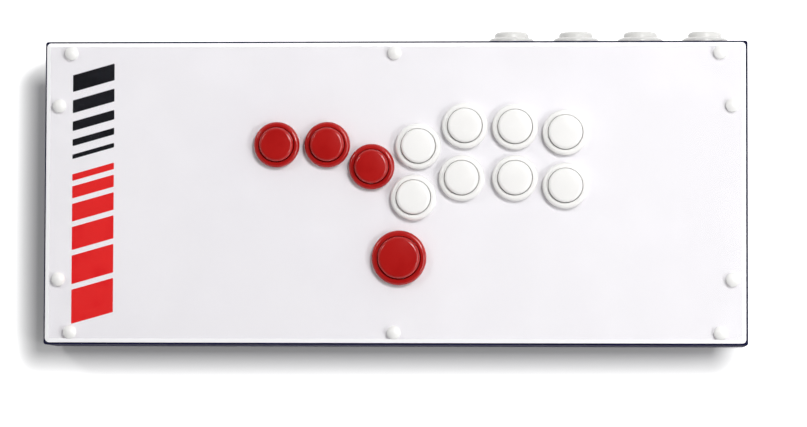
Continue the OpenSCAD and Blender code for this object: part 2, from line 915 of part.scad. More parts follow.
for (i = [0:LAST]) {
    button_cap(i);
    button_housing(i);
}
case_shell();
base_plate();
base_screws();
base_nuts();
rubber_feet();
foot_screws();
foot_nuts();
art_sheet();
clear_panel();
panel_screws();
press_nuts();
switch_bodies();
switch_terminals();
wire_receptacles();
branch_wires();
loom_sleeve();
cable_clips();
control_board();
board_components();
board_header();
loom_plug();
board_standoffs();
board_screws();
usb_inlet();
usb_socket();
inlet_screws();
inlet_nuts();
usb_lead();
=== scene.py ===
"""Looks of an all-button arcade controller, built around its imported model.

A folded steel case with a base plate, a printed sheet under a clear panel that ten domed screws hold,
twelve buttons on top and four on the rear wall, and the wiring inside. Sizes are in metres, in the frame of
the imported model: +Z is up and +Y is to the rear. Each sub-assembly is a class that builds its meshes,
dresses them and lets them ride on the model's bodies.
"""
import json
import logging
import math
from collections.abc import Sequence
from dataclasses import dataclass, field
from enum import Enum

import bmesh
import bpy
from mathutils import Matrix, Vector
from mathutils.geometry import delaunay_2d_cdt

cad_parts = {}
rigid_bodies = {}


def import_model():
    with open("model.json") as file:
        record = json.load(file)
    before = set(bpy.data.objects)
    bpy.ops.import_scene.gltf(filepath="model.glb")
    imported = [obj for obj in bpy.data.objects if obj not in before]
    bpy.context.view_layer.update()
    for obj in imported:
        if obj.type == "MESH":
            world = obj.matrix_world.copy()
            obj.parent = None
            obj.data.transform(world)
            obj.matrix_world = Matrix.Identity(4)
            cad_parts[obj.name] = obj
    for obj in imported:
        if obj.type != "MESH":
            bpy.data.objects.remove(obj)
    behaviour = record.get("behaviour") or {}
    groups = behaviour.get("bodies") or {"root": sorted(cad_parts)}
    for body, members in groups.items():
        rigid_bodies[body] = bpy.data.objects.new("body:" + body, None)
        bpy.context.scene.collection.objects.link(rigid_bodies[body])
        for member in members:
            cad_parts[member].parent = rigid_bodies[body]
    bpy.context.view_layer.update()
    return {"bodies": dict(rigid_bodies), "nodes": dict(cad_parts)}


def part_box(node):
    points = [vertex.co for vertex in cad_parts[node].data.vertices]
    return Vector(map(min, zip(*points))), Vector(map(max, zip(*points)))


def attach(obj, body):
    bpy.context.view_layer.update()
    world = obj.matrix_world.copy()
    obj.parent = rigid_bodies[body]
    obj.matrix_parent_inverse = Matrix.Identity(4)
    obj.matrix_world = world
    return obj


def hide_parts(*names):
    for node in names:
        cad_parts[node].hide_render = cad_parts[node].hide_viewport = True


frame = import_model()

log = logging.getLogger("controller")

MM = 0.001
ON_AXIS = 1e-7
CASE_BODY = "case"
# The kind of triangulation that fills only what lies inside the rim.
INSIDE_RIM = 1
CRISP_ANGLE = 34
# The weight at which a vertex takes its normal from the largest face beside it.
LARGE_FACES_FIRST = 100
ROUND_SIDES = 128
SMALL_SIDES = 40
EDGE_STEPS = 3
STEEL_T = 1.5 * MM
SHANK_R = 2.25 * MM
FINE_EDGE = 0.1 * MM
SMALL_EDGE = 0.15 * MM
EDGE = 0.2 * MM
SOFT_EDGE = 0.3 * MM
FILLET = 0.5 * MM
WHOLE = (0, 1)
WHITE = (1, 1, 1, 1)
REARWARD = Matrix.Rotation(math.radians(-90), 4, "X")

Point = tuple[float, float]
Corner = tuple[float, float, float]
Colour = tuple[float, float, float]
Ring = list[bmesh.types.BMVert]


# Outlines and mesh building


def arc(centre: Point, radius: float, start: float, end: float, steps: int) -> list[Point]:
    """Finds points along an arc.

    Args:
        centre: Middle of the arc.
        radius: Radius of the arc.
        start: Angle of the first point, in degrees.
        end: Angle of the last point, in degrees.
        steps: Number of stretches between the points.

    Returns:
        The points, from the first to the last.
    """
    angles = [math.radians(start + (end - start) * k / steps) for k in range(steps + 1)]
    return [(centre[0] + radius * math.cos(a), centre[1] + radius * math.sin(a)) for a in angles]


def rounded(corners: Sequence[Corner], steps: int = 4) -> list[Point]:
    """Rounds the corners of an open outline.

    Args:
        corners: Two coordinates and a radius for each corner. The two ends stay as they are.
        steps: Number of stretches in each round corner.

    Returns:
        The outline's points.
    """
    made = [corners[0][:2]]
    for before, here, after in zip(corners, corners[1:], corners[2:]):
        tip = Vector(here[:2])
        back = (Vector(before[:2]) - tip).normalized()
        ahead = (Vector(after[:2]) - tip).normalized()
        half = back.angle(ahead) / 2
        if here[2] == 0:
            made.append(here[:2])
            continue
        middle = tip + (back + ahead).normalized() * here[2] / math.sin(half)
        reach = here[2] / math.tan(half)
        first = (tip + back * reach - middle).normalized()
        last = (tip + ahead * reach - middle).normalized()
        made += [tuple(middle + first.slerp(last, k / steps) * here[2]) for k in range(steps + 1)]
    made.append(corners[-1][:2])
    return made


@dataclass(frozen=True)
class Outline:
    """A rectangle with round corners, seen from above."""

    centre: Point
    width: float
    depth: float
    corner: float
    least_corner: float = 0.3 * MM
    steps: int = 8

    def ring(self, inset: float) -> list[Point]:
        """Finds the outline that lies evenly inside this one.

        Args:
            inset: How far inside it lies.

        Returns:
            Its points, counter-clockwise from the right rear corner.
        """
        radius = max(self.corner - inset, self.least_corner)
        made = []
        for quarter, (side, end) in enumerate([(1, 1), (-1, 1), (-1, -1), (1, -1)]):
            x = self.centre[0] + side * (self.width / 2 - inset - radius)
            y = self.centre[1] + end * (self.depth / 2 - inset - radius)
            made += arc((x, y), radius, 90 * quarter, 90 * quarter + 90, self.steps)
        return made


@dataclass(frozen=True)
class Thread:
    """A screw thread cut into a turned shank."""

    low: float
    high: float
    pitch: float = 0.7 * MM
    depth: float = 0.32 * MM
    rings_a_turn: int = 6

    def cut(self, angle: float, height: float) -> float:
        """Says how deep the thread lies at one place, running out at both of its ends.

        Args:
            angle: Angle about the screw's axis, in radians.
            height: Height along the axis.

        Returns:
            Its depth there.
        """
        turns = height / self.pitch - angle / (2 * math.pi)
        fade = min((height - self.low) / self.pitch, (self.high - height) / self.pitch, 1)
        return max(fade, 0) * self.depth * abs(2 * (turns % 1) - 1)

    def levels(self) -> list[float]:
        """Lists the heights of the rings that show the thread, from the lowest up."""
        count = math.ceil(self.rings_a_turn * (self.high - self.low) / self.pitch)
        return [self.low + (self.high - self.low) * k / count for k in range(count + 1)]


def bridge(bm: bmesh.types.BMesh, one: Ring, other: Ring, skip: int = -1) -> None:
    """Joins two rings of vertices with faces, where a ring may be a single vertex.

    Args:
        bm: Mesh that holds them.
        one: First ring.
        other: Second ring.
        skip: Number of a side that stays open.
    """
    for k in range(max(len(one), len(other))):
        if k == skip:
            continue
        after = k + 1
        corners = [
            one[k % len(one)], one[after % len(one)], other[after % len(other)], other[k % len(other)],
        ]
        bm.faces.new(list(dict.fromkeys(corners)))


def fill(bm: bmesh.types.BMesh, rim: Ring, holes: Sequence[Ring], axes: tuple[int, int] = (0, 1)) -> None:
    """Fills the flat region between an outer ring and the rings of its round holes.

    A face with all of its corners on one hole's ring would close that hole, so it is left out.

    Args:
        bm: Mesh that holds them.
        rim: Outer ring.
        holes: Rings of the holes.
        axes: Numbers of the two axes that the region lies along.
    """
    rings = [rim, *holes]
    verts = [v for ring in rings for v in ring]
    owners = [k for k, ring in enumerate(rings) for _ in ring]
    edges = []
    for ring in rings:
        first = len(edges)
        edges += [(first + k, first + (k + 1) % len(ring)) for k in range(len(ring))]
    points = [Vector((v.co[axes[0]], v.co[axes[1]])) for v in verts]
    _, _, faces, sources, *_ = delaunay_2d_cdt(points, edges, [], INSIDE_RIM, ON_AXIS)
    for face in faces:
        corners = [sources[k][0] for k in face]
        touched = {owners[k] for k in corners}
        if len(touched) > 1 or touched == {0}:
            bm.faces.new([verts[k] for k in corners])


def turned(
    bm: bmesh.types.BMesh,
    outline: Sequence[Point],
    place: Matrix | None = None,
    count: int = 96,
    thread: Thread | None = None,
    is_open: bool = False,
) -> tuple[Ring, Ring]:
    """Adds a body turned about the local Z axis.

    Args:
        bm: Mesh that gets it.
        outline: Radius and height of each ring. An outline that starts off the axis closes on itself.
        place: Where the local axes lie.
        count: Number of sides.
        thread: Thread that is cut into it.
        is_open: True if the two ends stay open.

    Returns:
        The first ring and the last.
    """
    place = place or Matrix()
    rings = []
    for radius, height in outline:
        if radius < ON_AXIS:
            rings.append([bm.verts.new(place @ Vector((0, 0, height)))])
            continue
        ring = []
        for k in range(count):
            angle = 2 * math.pi / count * k
            is_cut = thread is not None and thread.low < height < thread.high
            reach = radius - thread.cut(angle, height) if is_cut else radius
            point = Vector((reach * math.cos(angle), reach * math.sin(angle), height))
            ring.append(bm.verts.new(place @ point))
        rings.append(ring)
    if outline[0][0] >= ON_AXIS and not is_open:
        rings.append(rings[0])
    for one, other in zip(rings, rings[1:]):
        bridge(bm, one, other)
    return rings[0], rings[-1]


def prism(bm: bmesh.types.BMesh, outline: Sequence[Point], place: Matrix, low: float, high: float) -> None:
    """Adds a closed prism.

    Args:
        bm: Mesh that gets it.
        outline: Its outline in the local XY plane.
        place: Where the local axes lie.
        low: Where it starts along the local Z axis.
        high: Where it ends.
    """
    ends = [[bm.verts.new(place @ Vector((x, y, z))) for x, y in outline] for z in (low, high)]
    bridge(bm, *ends)
    for end in ends:
        bm.faces.new(end)


@dataclass(frozen=True)
class Hole:
    """A round hole through a plate, with its edges broken."""

    place: Matrix
    radius: float
    edge: float = SMALL_EDGE
    count: int = 72
    sink: float = 0
    flat_edges: float = 4

    def rings(self, bm: bmesh.types.BMesh, face: float, back: float) -> tuple[Ring, Ring]:
        """Adds the wall of the hole.

        Args:
            bm: Mesh that gets it.
            face: Height of the plate's outer face.
            back: Height of its inner face.

        Returns:
            The rings that lie in the two faces.
        """
        wide = self.radius + self.sink
        flat_w = self.flat_edges * self.edge
        section = [(wide + flat_w, face, 0), (wide, face, self.edge)]
        if self.sink:
            section.append((self.radius, face - self.sink, self.edge))
        section += [(self.radius, back, self.edge), (self.radius + flat_w, back, 0)]
        return turned(bm, rounded(section, EDGE_STEPS), self.place, self.count, is_open=True)


def at(x: float, y: float, z: float = 0) -> Matrix:
    """Stands the local axes upright at a point."""
    return Matrix.Translation((x, y, z))


def plate(bm: bmesh.types.BMesh, outline: Outline, rim: Sequence[Point], holes: Sequence[Hole]) -> None:
    """Adds a flat plate with round holes.

    Args:
        bm: Mesh that gets it.
        outline: Its outline.
        rim: The section of its edge, from the top face to the underside: how far in, and the height.
        holes: The holes through it.
    """
    sweep = [[bm.verts.new((x, y, z)) for x, y in outline.ring(inset)] for inset, z in rim]
    for one, other in zip(sweep, sweep[1:]):
        bridge(bm, one, other)
    through = [hole.rings(bm, rim[0][1], rim[-1][1]) for hole in holes]
    fill(bm, sweep[0], [rings[0] for rings in through])
    fill(bm, sweep[-1], [rings[1] for rings in through])


def middle_and_reach(node: str) -> tuple[Vector, Vector]:
    """Finds the middle of a node's box, and how far the box reaches from there."""
    low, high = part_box(node)
    return (low + high) / 2, (high - low) / 2


def node_outline(node: str, corner: float, inset: float = 0) -> Outline:
    """Gives the outline of a node's box, or one that lies inside it.

    Args:
        node: Name of the node.
        corner: Radius of the outline's corners.
        inset: How far inside it lies.

    Returns:
        The outline.
    """
    middle, reach = middle_and_reach(node)
    return Outline((middle.x, middle.y), 2 * (reach.x - inset), 2 * (reach.y - inset), corner)


def spread(middle: Vector, reach_x: float, reach_y: float, columns: Sequence[int] = (-1, 1)) -> list[Point]:
    """Lists the points of two rows set out evenly about a middle.

    Args:
        middle: Middle of the rows.
        reach_x: Distance of the outer columns from the middle.
        reach_y: Distance of the rows from the middle.
        columns: Sides on which a column stands, where 0 is the middle.

    Returns:
        The points, column by column.
    """
    return [(middle.x + a * reach_x, middle.y + b * reach_y) for a in columns for b in (-1, 1)]


def shown(name: str, bm: bmesh.types.BMesh) -> bpy.types.Object:
    """Turns a finished mesh into a shown object with smooth faces and crisp corners.

    Args:
        name: Name of the object.
        bm: Its mesh, which is used up.

    Returns:
        The object.
    """
    bmesh.ops.recalc_face_normals(bm, faces=bm.faces)
    mesh = bpy.data.meshes.new(name)
    bm.to_mesh(mesh)
    bm.free()
    mesh.shade_smooth()
    mesh.set_sharp_from_angle(angle=math.radians(CRISP_ANGLE))
    obj = bpy.data.objects.new(name, mesh)
    bpy.context.scene.collection.objects.link(obj)
    even = obj.modifiers.new("Even shading", "WEIGHTED_NORMAL")
    even.keep_sharp = True
    even.weight = LARGE_FACES_FIRST
    return obj


# Shader node groups that the finishes share


class Graph:
    """Adds and joins the nodes of one node tree."""

    def __init__(self, tree: bpy.types.NodeTree) -> None:
        """Takes over a tree and empties it."""
        self.tree = tree
        tree.nodes.clear()

    def add(self, kind: str, **values: object) -> bpy.types.Node:
        """Adds a node.

        Args:
            kind: Its type, such as ShaderNodeMix.
            **values: Its own settings, by name.

        Returns:
            The node.
        """
        node = self.tree.nodes.new(kind)
        for name, value in values.items():
            setattr(node, name, value)
        return node

    def join(self, source: bpy.types.NodeSocket, target: bpy.types.NodeSocket) -> None:
        """Leads one socket into another."""
        self.tree.links.new(source, target)

    def math(self, operation: str, one: object, other: object = 0.0) -> bpy.types.NodeSocket:
        """Adds a sum of two values, each a number or a socket, and gives its result.

        Args:
            operation: What is done with them, such as MULTIPLY.
            one: First value.
            other: Second value.

        Returns:
            The result.
        """
        node = self.add("ShaderNodeMath", operation=operation)
        for k, value in enumerate((one, other)):
            if isinstance(value, (int, float)):
                node.inputs[k].default_value = value
            else:
                self.join(value, node.inputs[k])
        return node.outputs[0]

    def vector(
        self, operation: str, one: bpy.types.NodeSocket, other: Corner = (0, 0, 0)
    ) -> bpy.types.NodeSocket:
        """Works on a vector that varies and a plain one.

        Args:
            operation: What is done with them, such as SUBTRACT.
            one: Vector that varies.
            other: Plain vector.

        Returns:
            The result.
        """
        node = self.add("ShaderNodeVectorMath", operation=operation)
        self.join(one, node.inputs[0])
        node.inputs[1].default_value = other
        return node.outputs["Value" if operation == "LENGTH" else "Vector"]

    def parts(self, value: bpy.types.NodeSocket) -> bpy.types.NodeOutputs:
        """Splits a vector into its X, Y and Z.

        Args:
            value: Socket of the vector.

        Returns:
            The three sockets, by name.
        """
        node = self.add("ShaderNodeSeparateXYZ")
        self.join(value, node.inputs[0])
        return node.outputs

    def span(self, value: bpy.types.NodeSocket, start: Point, end: Point = WHOLE) -> bpy.types.NodeSocket:
        """Maps a value from one span to another, and keeps it inside.

        Args:
            value: Socket that varies.
            start: Lowest and highest value that count.
            end: What they become.

        Returns:
            The mapped value.
        """
        node = self.add("ShaderNodeMapRange")
        for name, number in zip(("From Min", "From Max", "To Min", "To Max"), (*start, *end)):
            node.inputs[name].default_value = number
        self.join(value, node.inputs["Value"])
        return node.outputs[0]

    def blend(self, share: bpy.types.NodeSocket, one: object, other: object) -> bpy.types.NodeSocket:
        """Mixes two colours, each a colour or a socket, by a share that varies.

        Args:
            share: Share of the second colour.
            one: First colour.
            other: Second colour.

        Returns:
            The mixed colour.
        """
        node = self.add("ShaderNodeMix", data_type="RGBA")
        self.join(share, node.inputs["Factor"])
        for socket, value in zip((node.inputs[6], node.inputs[7]), (one, other)):
            if isinstance(value, tuple):
                socket.default_value = (*value, 1)
            else:
                self.join(value, socket)
        return node.outputs[2]

    def noise(self, where: bpy.types.NodeSocket, scale: object, detail: float) -> bpy.types.NodeSocket:
        """Adds a noise whose scale is a number or a socket, and gives its value.

        Args:
            where: Socket of the coordinates.
            scale: Cells to the metre.
            detail: Number of finer layers.

        Returns:
            The noise, from 0 to 1.
        """
        node = self.add("ShaderNodeTexNoise")
        node.inputs["Detail"].default_value = detail
        if isinstance(scale, (int, float)):
            node.inputs["Scale"].default_value = scale
        else:
            self.join(scale, node.inputs["Scale"])
        self.join(where, node.inputs["Vector"])
        return node.outputs["Fac"]


# Details of the noises, and the spans of their values that turn into masks.
ROUGH_DETAIL = 2
EVEN_DETAIL = 4
FULL_DETAIL = 5
GRAIN_COARSE_SCALE = 0.22
GRAIN_COARSE_SHARE = 0.6
SMUDGE_SPAN = (0.3, 0.75)
HAIR_TILT = (0.1, 0.2)
HAIR_LAYS = ((0.35, 34.0), (-0.9, 26.0))
HAIR_SPAN = (0.66, 0.74)
SPECK_SPAN = (0.05, 0.22)
UPWARD_SPAN = (0.2, 0.9)
WORN_SPAN = (0.50, 0.60)
WORN_PATCH_SPAN = (0.35, 0.6)
MASK_GAIN = 3.0


class Effect(Enum):
    """The shared surface effects, each a node group with a mask or height that varies."""

    GRAIN = "Fine grain"
    SMUDGES = "Handling smudges"
    HAIRLINES = "Hairline scratches"
    DUST = "Settled dust"
    WEAR = "Worn edges"

    def group(self) -> bpy.types.NodeTree:
        """Gives the effect's node group, which is built on its first use.

        Returns:
            The group.
        """
        tree = bpy.data.node_groups.get(self.value)
        if tree:
            return tree
        tree = bpy.data.node_groups.new(self.value, "ShaderNodeTree")
        for name, number in (("Scale", 1000.0), ("Amount", 0.5)):
            socket = tree.interface.new_socket(name, in_out="INPUT", socket_type="NodeSocketFloat")
            socket.default_value = number
        tree.interface.new_socket("Mask", in_out="OUTPUT", socket_type="NodeSocketFloat")
        graph = Graph(tree)
        inlet = graph.add("NodeGroupInput")
        outlet = graph.add("NodeGroupOutput")
        where = graph.add("ShaderNodeTexCoord").outputs["Object"]
        mask = self.mask(graph, where, inlet.outputs["Scale"])
        if self is Effect.GRAIN:
            made = graph.math("MULTIPLY", mask, inlet.outputs["Amount"])
        else:
            low = graph.math("SUBTRACT", 1.0, inlet.outputs["Amount"])
            made = graph.math("MAXIMUM", graph.math("SUBTRACT", mask, low), 0.0)
            made = graph.math("MINIMUM", graph.math("MULTIPLY", made, MASK_GAIN), 1.0)
        graph.join(made, outlet.inputs["Mask"])
        return tree

    def mask(self, graph: Graph, where: object, scale: object) -> bpy.types.NodeSocket:
        """Builds the pattern itself.

        Args:
            graph: Graph of the group.
            where: Socket of the coordinates.
            scale: Socket of the pattern's scale.

        Returns:
            The pattern, from 0 to 1.
        """
        if self is Effect.GRAIN:
            coarse = graph.noise(where, graph.math("MULTIPLY", scale, GRAIN_COARSE_SCALE), ROUGH_DETAIL)
            coarse = graph.math("MULTIPLY", coarse, GRAIN_COARSE_SHARE)
            return graph.math("ADD", coarse, graph.noise(where, scale, EVEN_DETAIL))
        if self is Effect.SMUDGES:
            return graph.span(graph.noise(where, scale, FULL_DETAIL), SMUDGE_SPAN)
        if self is Effect.HAIRLINES:
            lines = []
            for turn, stretch in HAIR_LAYS:
                lay = graph.add("ShaderNodeMapping")
                lay.inputs["Rotation"].default_value = (*HAIR_TILT, turn)
                lay.inputs["Scale"].default_value = (1.0, stretch, stretch)
                graph.join(where, lay.inputs["Vector"])
                lines.append(graph.span(graph.noise(lay.outputs[0], scale, ROUGH_DETAIL), HAIR_SPAN))
            return graph.math("MAXIMUM", *lines)
        geometry = graph.add("ShaderNodeNewGeometry")
        if self is Effect.DUST:
            specks = graph.add("ShaderNodeTexVoronoi", feature="F1")
            graph.join(where, specks.inputs["Vector"])
            graph.join(scale, specks.inputs["Scale"])
            near = graph.span(specks.outputs["Distance"], SPECK_SPAN, (1, 0))
            upward = graph.parts(geometry.outputs["Normal"])["Z"]
            return graph.math("MULTIPLY", near, graph.span(upward, UPWARD_SPAN))
        worn = graph.span(geometry.outputs["Pointiness"], WORN_SPAN)
        patches = graph.span(graph.noise(where, scale, FULL_DETAIL), WORN_PATCH_SPAN)
        return graph.math("MULTIPLY", worn, patches)


def effect(graph: Graph, kind: Effect, scale: float, amount: float) -> bpy.types.NodeSocket:
    """Places a shared effect in a material.

    Args:
        graph: Graph of the material.
        kind: Effect that is wanted.
        scale: Scale of its pattern, in cells per metre.
        amount: How much of it shows, from 0 to 1.

    Returns:
        Its mask.
    """
    node = graph.add("ShaderNodeGroup", node_tree=kind.group())
    node.inputs["Scale"].default_value = scale
    node.inputs["Amount"].default_value = amount
    return node.outputs["Mask"]


# Finishes


@dataclass(frozen=True)
class Finish:
    """The surface of one stuff: its colours, gloss, grain and wear."""

    name: str
    colour: Colour
    drift: Colour
    gloss: Point = (0.3, 0.42)
    metallic: float = 0
    shine: float = 0.5
    grain: float = 2500
    grain_height: float = 0.01 * MM
    smudge_scale: float = 70
    smudges: float = 0.85
    scratch_scale: float = 60
    scratches: float = 0.3
    scratch_gloss: float = 0.12
    wear_scale: float = 900
    wear: float = 0
    worn: Colour = (0.5, 0.5, 0.5)
    dust_scale: float = 1400
    dust: float = 0
    dust_colour: Colour = (0.55, 0.53, 0.5)

    def material(self) -> bpy.types.Material:
        """Gives the finish's material, which is built on its first use.

        Returns:
            The material.
        """
        made = bpy.data.materials.get(self.name)
        if made:
            return made
        made = bpy.data.materials.new(self.name)
        made.use_nodes = True
        graph = Graph(made.node_tree)
        shader = graph.add("ShaderNodeBsdfPrincipled")
        self.dress(graph, shader)
        outlet = graph.add("ShaderNodeOutputMaterial")
        graph.join(self.surface(graph, shader), outlet.inputs["Surface"])
        return made

    def dress(self, graph: Graph, shader: bpy.types.Node) -> None:
        """Sets a shader's constants and leads the varying effects into it.

        Args:
            graph: Graph of the material.
            shader: Its Principled node.
        """
        shader.inputs["Metallic"].default_value = self.metallic
        shader.inputs["Specular IOR Level"].default_value = self.shine
        smudges = effect(graph, Effect.SMUDGES, self.smudge_scale, self.smudges)
        hairs = effect(graph, Effect.HAIRLINES, self.scratch_scale, self.scratches)
        graph.join(self.paint(graph, smudges), shader.inputs["Base Color"])
        rough = graph.span(smudges, WHOLE, self.gloss)
        scuffed = graph.math("ADD", rough, graph.math("MULTIPLY", hairs, self.scratch_gloss))
        graph.join(scuffed, shader.inputs["Roughness"])
        grain = effect(graph, Effect.GRAIN, self.grain, 1)
        bump = graph.add("ShaderNodeBump")
        bump.inputs["Strength"].default_value = 1
        bump.inputs["Distance"].default_value = self.grain_height
        graph.join(graph.math("SUBTRACT", grain, hairs), bump.inputs["Height"])
        graph.join(bump.outputs[0], shader.inputs["Normal"])

    def paint(self, graph: Graph, smudges: bpy.types.NodeSocket) -> bpy.types.NodeSocket:
        """Builds the colour: the stuff's own drift, with worn edges and dust over it.

        Args:
            graph: Graph of the material.
            smudges: Mask of the smudges.

        Returns:
            The colour.
        """
        made = graph.blend(smudges, self.colour, self.drift)
        if self.wear:
            made = graph.blend(effect(graph, Effect.WEAR, self.wear_scale, self.wear), made, self.worn)
        if self.dust:
            made = graph.blend(effect(graph, Effect.DUST, self.dust_scale, self.dust), made, self.dust_colour)
        return made

    def surface(self, graph: Graph, shader: bpy.types.Node) -> bpy.types.NodeSocket:
        """Gives what the material shows."""
        return shader.outputs[0]


@dataclass(frozen=True)
class ClearFinish(Finish):
    """A clear or frosted plastic that lets the lamps through to what lies under it, and may glow with painted
    light.
    """

    refraction: float = 1.49
    clearness: float = 1
    # Emission that paints light onto the surface; it is not a lamp.
    painted_glow: float = 0

    def dress(self, graph: Graph, shader: bpy.types.Node) -> None:
        """Makes the shader clear, keeps the marks on its surface, and adds its painted glow.

        Args:
            graph: Graph of the material.
            shader: Its Principled node.
        """
        super().dress(graph, shader)
        shader.inputs["Transmission Weight"].default_value = self.clearness
        # Painted glow: the surface emits white light though it is not a lamp.
        shader.inputs["Emission Color"].default_value = WHITE
        shader.inputs["Emission Strength"].default_value = self.painted_glow
        shader.inputs["IOR"].default_value = self.refraction

    def surface(self, graph: Graph, shader: bpy.types.Node) -> bpy.types.NodeSocket:
        """Lets the rays of the lamps and the scattered light through.

        Args:
            graph: Graph of the material.
            shader: Its Principled node.

        Returns:
            What the material shows.
        """
        clear = graph.add("ShaderNodeBsdfTransparent")
        mix = graph.add("ShaderNodeMixShader")
        path = graph.add("ShaderNodeLightPath")
        passing = graph.math("MAXIMUM", path.outputs["Is Shadow Ray"], path.outputs["Is Diffuse Ray"])
        graph.join(passing, mix.inputs[0])
        graph.join(shader.outputs[0], mix.inputs[1])
        graph.join(clear.outputs[0], mix.inputs[2])
        return mix.outputs[0]


@dataclass(frozen=True)
class BoardFinish(Finish):
    """A circuit board's lacquer, with its tracks and pads showing through."""

    track: Colour = (0.03, 0.22, 0.06)
    track_scale: float = 90
    track_width: float = 0.03
    pad: Colour = (0.55, 0.42, 0.18)
    pad_scale: float = 380
    pad_span: Point = (0.12, 0.2)

    def paint(self, graph: Graph, smudges: bpy.types.NodeSocket) -> bpy.types.NodeSocket:
        """Lays tracks and pads over the lacquer.

        Args:
            graph: Graph of the material.
            smudges: Mask of the smudges.

        Returns:
            The colour.
        """
        where = graph.add("ShaderNodeTexCoord").outputs["Object"]
        tracks = graph.add("ShaderNodeTexBrick", offset=0.37, squash=0.6)
        tracks.inputs["Scale"].default_value = self.track_scale
        tracks.inputs["Mortar Size"].default_value = self.track_width
        pads = graph.add("ShaderNodeTexVoronoi", feature="F1")
        pads.inputs["Scale"].default_value = self.pad_scale
        for node in (tracks, pads):
            graph.join(where, node.inputs["Vector"])
        made = graph.blend(tracks.outputs["Fac"], super().paint(graph, smudges), self.track)
        return graph.blend(graph.span(pads.outputs["Distance"], self.pad_span, (1, 0)), made, self.pad)


NAVY_PAINT = Finish(
    "navy-powder-coat", (0.006, 0.006, 0.030), (0.010, 0.010, 0.042), gloss=(0.56, 0.68), shine=0.06,
    grain=1100, grain_height=0.03 * MM, wear=0.2, worn=(0.06, 0.06, 0.12), dust=0.1,
)
RED_PLASTIC = Finish(
    "red-button-plastic", (0.41, 0.008, 0.0075), (0.44, 0.009, 0.008), gloss=(0.13, 0.19),
    grain=900, grain_height=0.003 * MM, wear=0.12, worn=(0.5, 0.03, 0.025), scratches=0.22,
)
WHITE_PLASTIC = Finish(
    "white-button-plastic", (0.935, 0.925, 0.91), (0.95, 0.94, 0.925), gloss=(0.18, 0.26),
    grain=900, grain_height=0.003 * MM, scratches=0.22, dust=0.06,
)
# The rear buttons are the same white plastic as those on top, painted greyer as painted shade.
REAR_PAINTED_SHADE_PLASTIC = Finish(
    "rear-button-plastic-painted-shade", (0.72, 0.715, 0.695), (0.75, 0.745, 0.725), gloss=(0.2, 0.28),
    grain=900, grain_height=0.003 * MM, scratches=0.22, dust=0.06,
)
CLEAR_ACRYLIC = ClearFinish(
    "clear-acrylic", (0.99, 0.99, 1.0), (0.97, 0.97, 0.98), gloss=(0.0, 0.035),
    grain=120, grain_height=0.002 * MM, scratches=0.2, smudge_scale=26,
)
# The bevel is a frosted white edge, made brighter by a painted glow.
BEVELLED_ACRYLIC = ClearFinish(
    "bevelled-acrylic-edge", (0.98, 0.975, 0.99), (0.99, 0.985, 1.0), gloss=(0.3, 0.4),
    grain=2600, grain_height=0.006 * MM, clearness=0, painted_glow=0.12,
)
PRINTED_SHEET = Finish(
    "printed-sheet", (0.945, 0.925, 0.955), (0.96, 0.94, 0.965), gloss=(0.45, 0.55),
    grain=5200, grain_height=0.004 * MM, smudge_scale=12, scratches=0.1,
)
BLACK_INK = Finish(
    "black-print", (0.002, 0.002, 0.004), (0.005, 0.005, 0.008), gloss=(0.5, 0.6), grain=7000, shine=0.1,
)
RED_INK = Finish(
    "red-print", (0.82, 0.012, 0.015), (0.86, 0.02, 0.02), gloss=(0.5, 0.6), grain=7000, shine=0.1,
)
NYLON = Finish(
    "white-nylon", (0.91, 0.905, 0.89), (0.94, 0.935, 0.92), gloss=(0.26, 0.36),
    grain=2200, grain_height=0.006 * MM,
)
RUBBER = Finish(
    "foot-rubber", (0.012, 0.012, 0.012), (0.022, 0.021, 0.02), gloss=(0.62, 0.8),
    grain=3400, grain_height=0.03 * MM, dust=0.3, scratches=0.5,
)
DARK_STEEL = Finish(
    "dark-steel", (0.10, 0.10, 0.105), (0.16, 0.16, 0.165), gloss=(0.3, 0.45), metallic=1,
    grain=2600, wear=0.3, worn=(0.5, 0.5, 0.5),
)
ZINC_STEEL = Finish(
    "zinc-steel", (0.58, 0.58, 0.56), (0.44, 0.45, 0.46), gloss=(0.25, 0.42), metallic=1, grain=2600,
)
BRASS = Finish(
    "terminal-brass", (0.72, 0.50, 0.20), (0.60, 0.40, 0.15), gloss=(0.25, 0.4), metallic=1, grain=2600,
)
SOCKET_METAL = Finish(
    "socket-shell", (0.62, 0.62, 0.62), (0.52, 0.52, 0.53), gloss=(0.2, 0.34), metallic=1, grain=2600,
)
SWITCH_PLASTIC = Finish(
    "switch-plastic", (0.018, 0.018, 0.02), (0.03, 0.03, 0.032), gloss=(0.4, 0.5), grain=3000,
)
RECEPTACLE_RED = Finish(
    "receptacle-red", (0.45, 0.02, 0.018), (0.52, 0.03, 0.022), gloss=(0.35, 0.45), grain=3000,
)
WIRE_YELLOW = Finish(
    "wire-yellow", (0.74, 0.52, 0.04), (0.80, 0.58, 0.06), gloss=(0.38, 0.5), grain=3000,
)
SLEEVE_BLACK = Finish(
    "sleeve-black", (0.014, 0.014, 0.015), (0.03, 0.03, 0.032), gloss=(0.5, 0.65),
    grain=1600, grain_height=0.05 * MM,
)
CLIP_NYLON = Finish(
    "clip-nylon", (0.74, 0.72, 0.66), (0.80, 0.78, 0.72), gloss=(0.35, 0.45), grain=2200,
)
BOARD_GREEN = BoardFinish(
    "board-green", (0.008, 0.09, 0.03), (0.012, 0.11, 0.04), gloss=(0.2, 0.3), grain=3000,
)
CHIP_BLACK = Finish(
    "chip-black", (0.02, 0.02, 0.022), (0.035, 0.035, 0.036), gloss=(0.45, 0.6), grain=4000,
)
CONNECTOR_BLACK = Finish(
    "connector-black", (0.015, 0.015, 0.016), (0.028, 0.028, 0.03), gloss=(0.4, 0.5), grain=3000,
)
INLET_BLACK = Finish(
    "inlet-black", (0.016, 0.016, 0.018), (0.03, 0.03, 0.032), gloss=(0.34, 0.46),
    grain=2400, grain_height=0.015 * MM, wear=0.15, worn=(0.12, 0.12, 0.12),
)


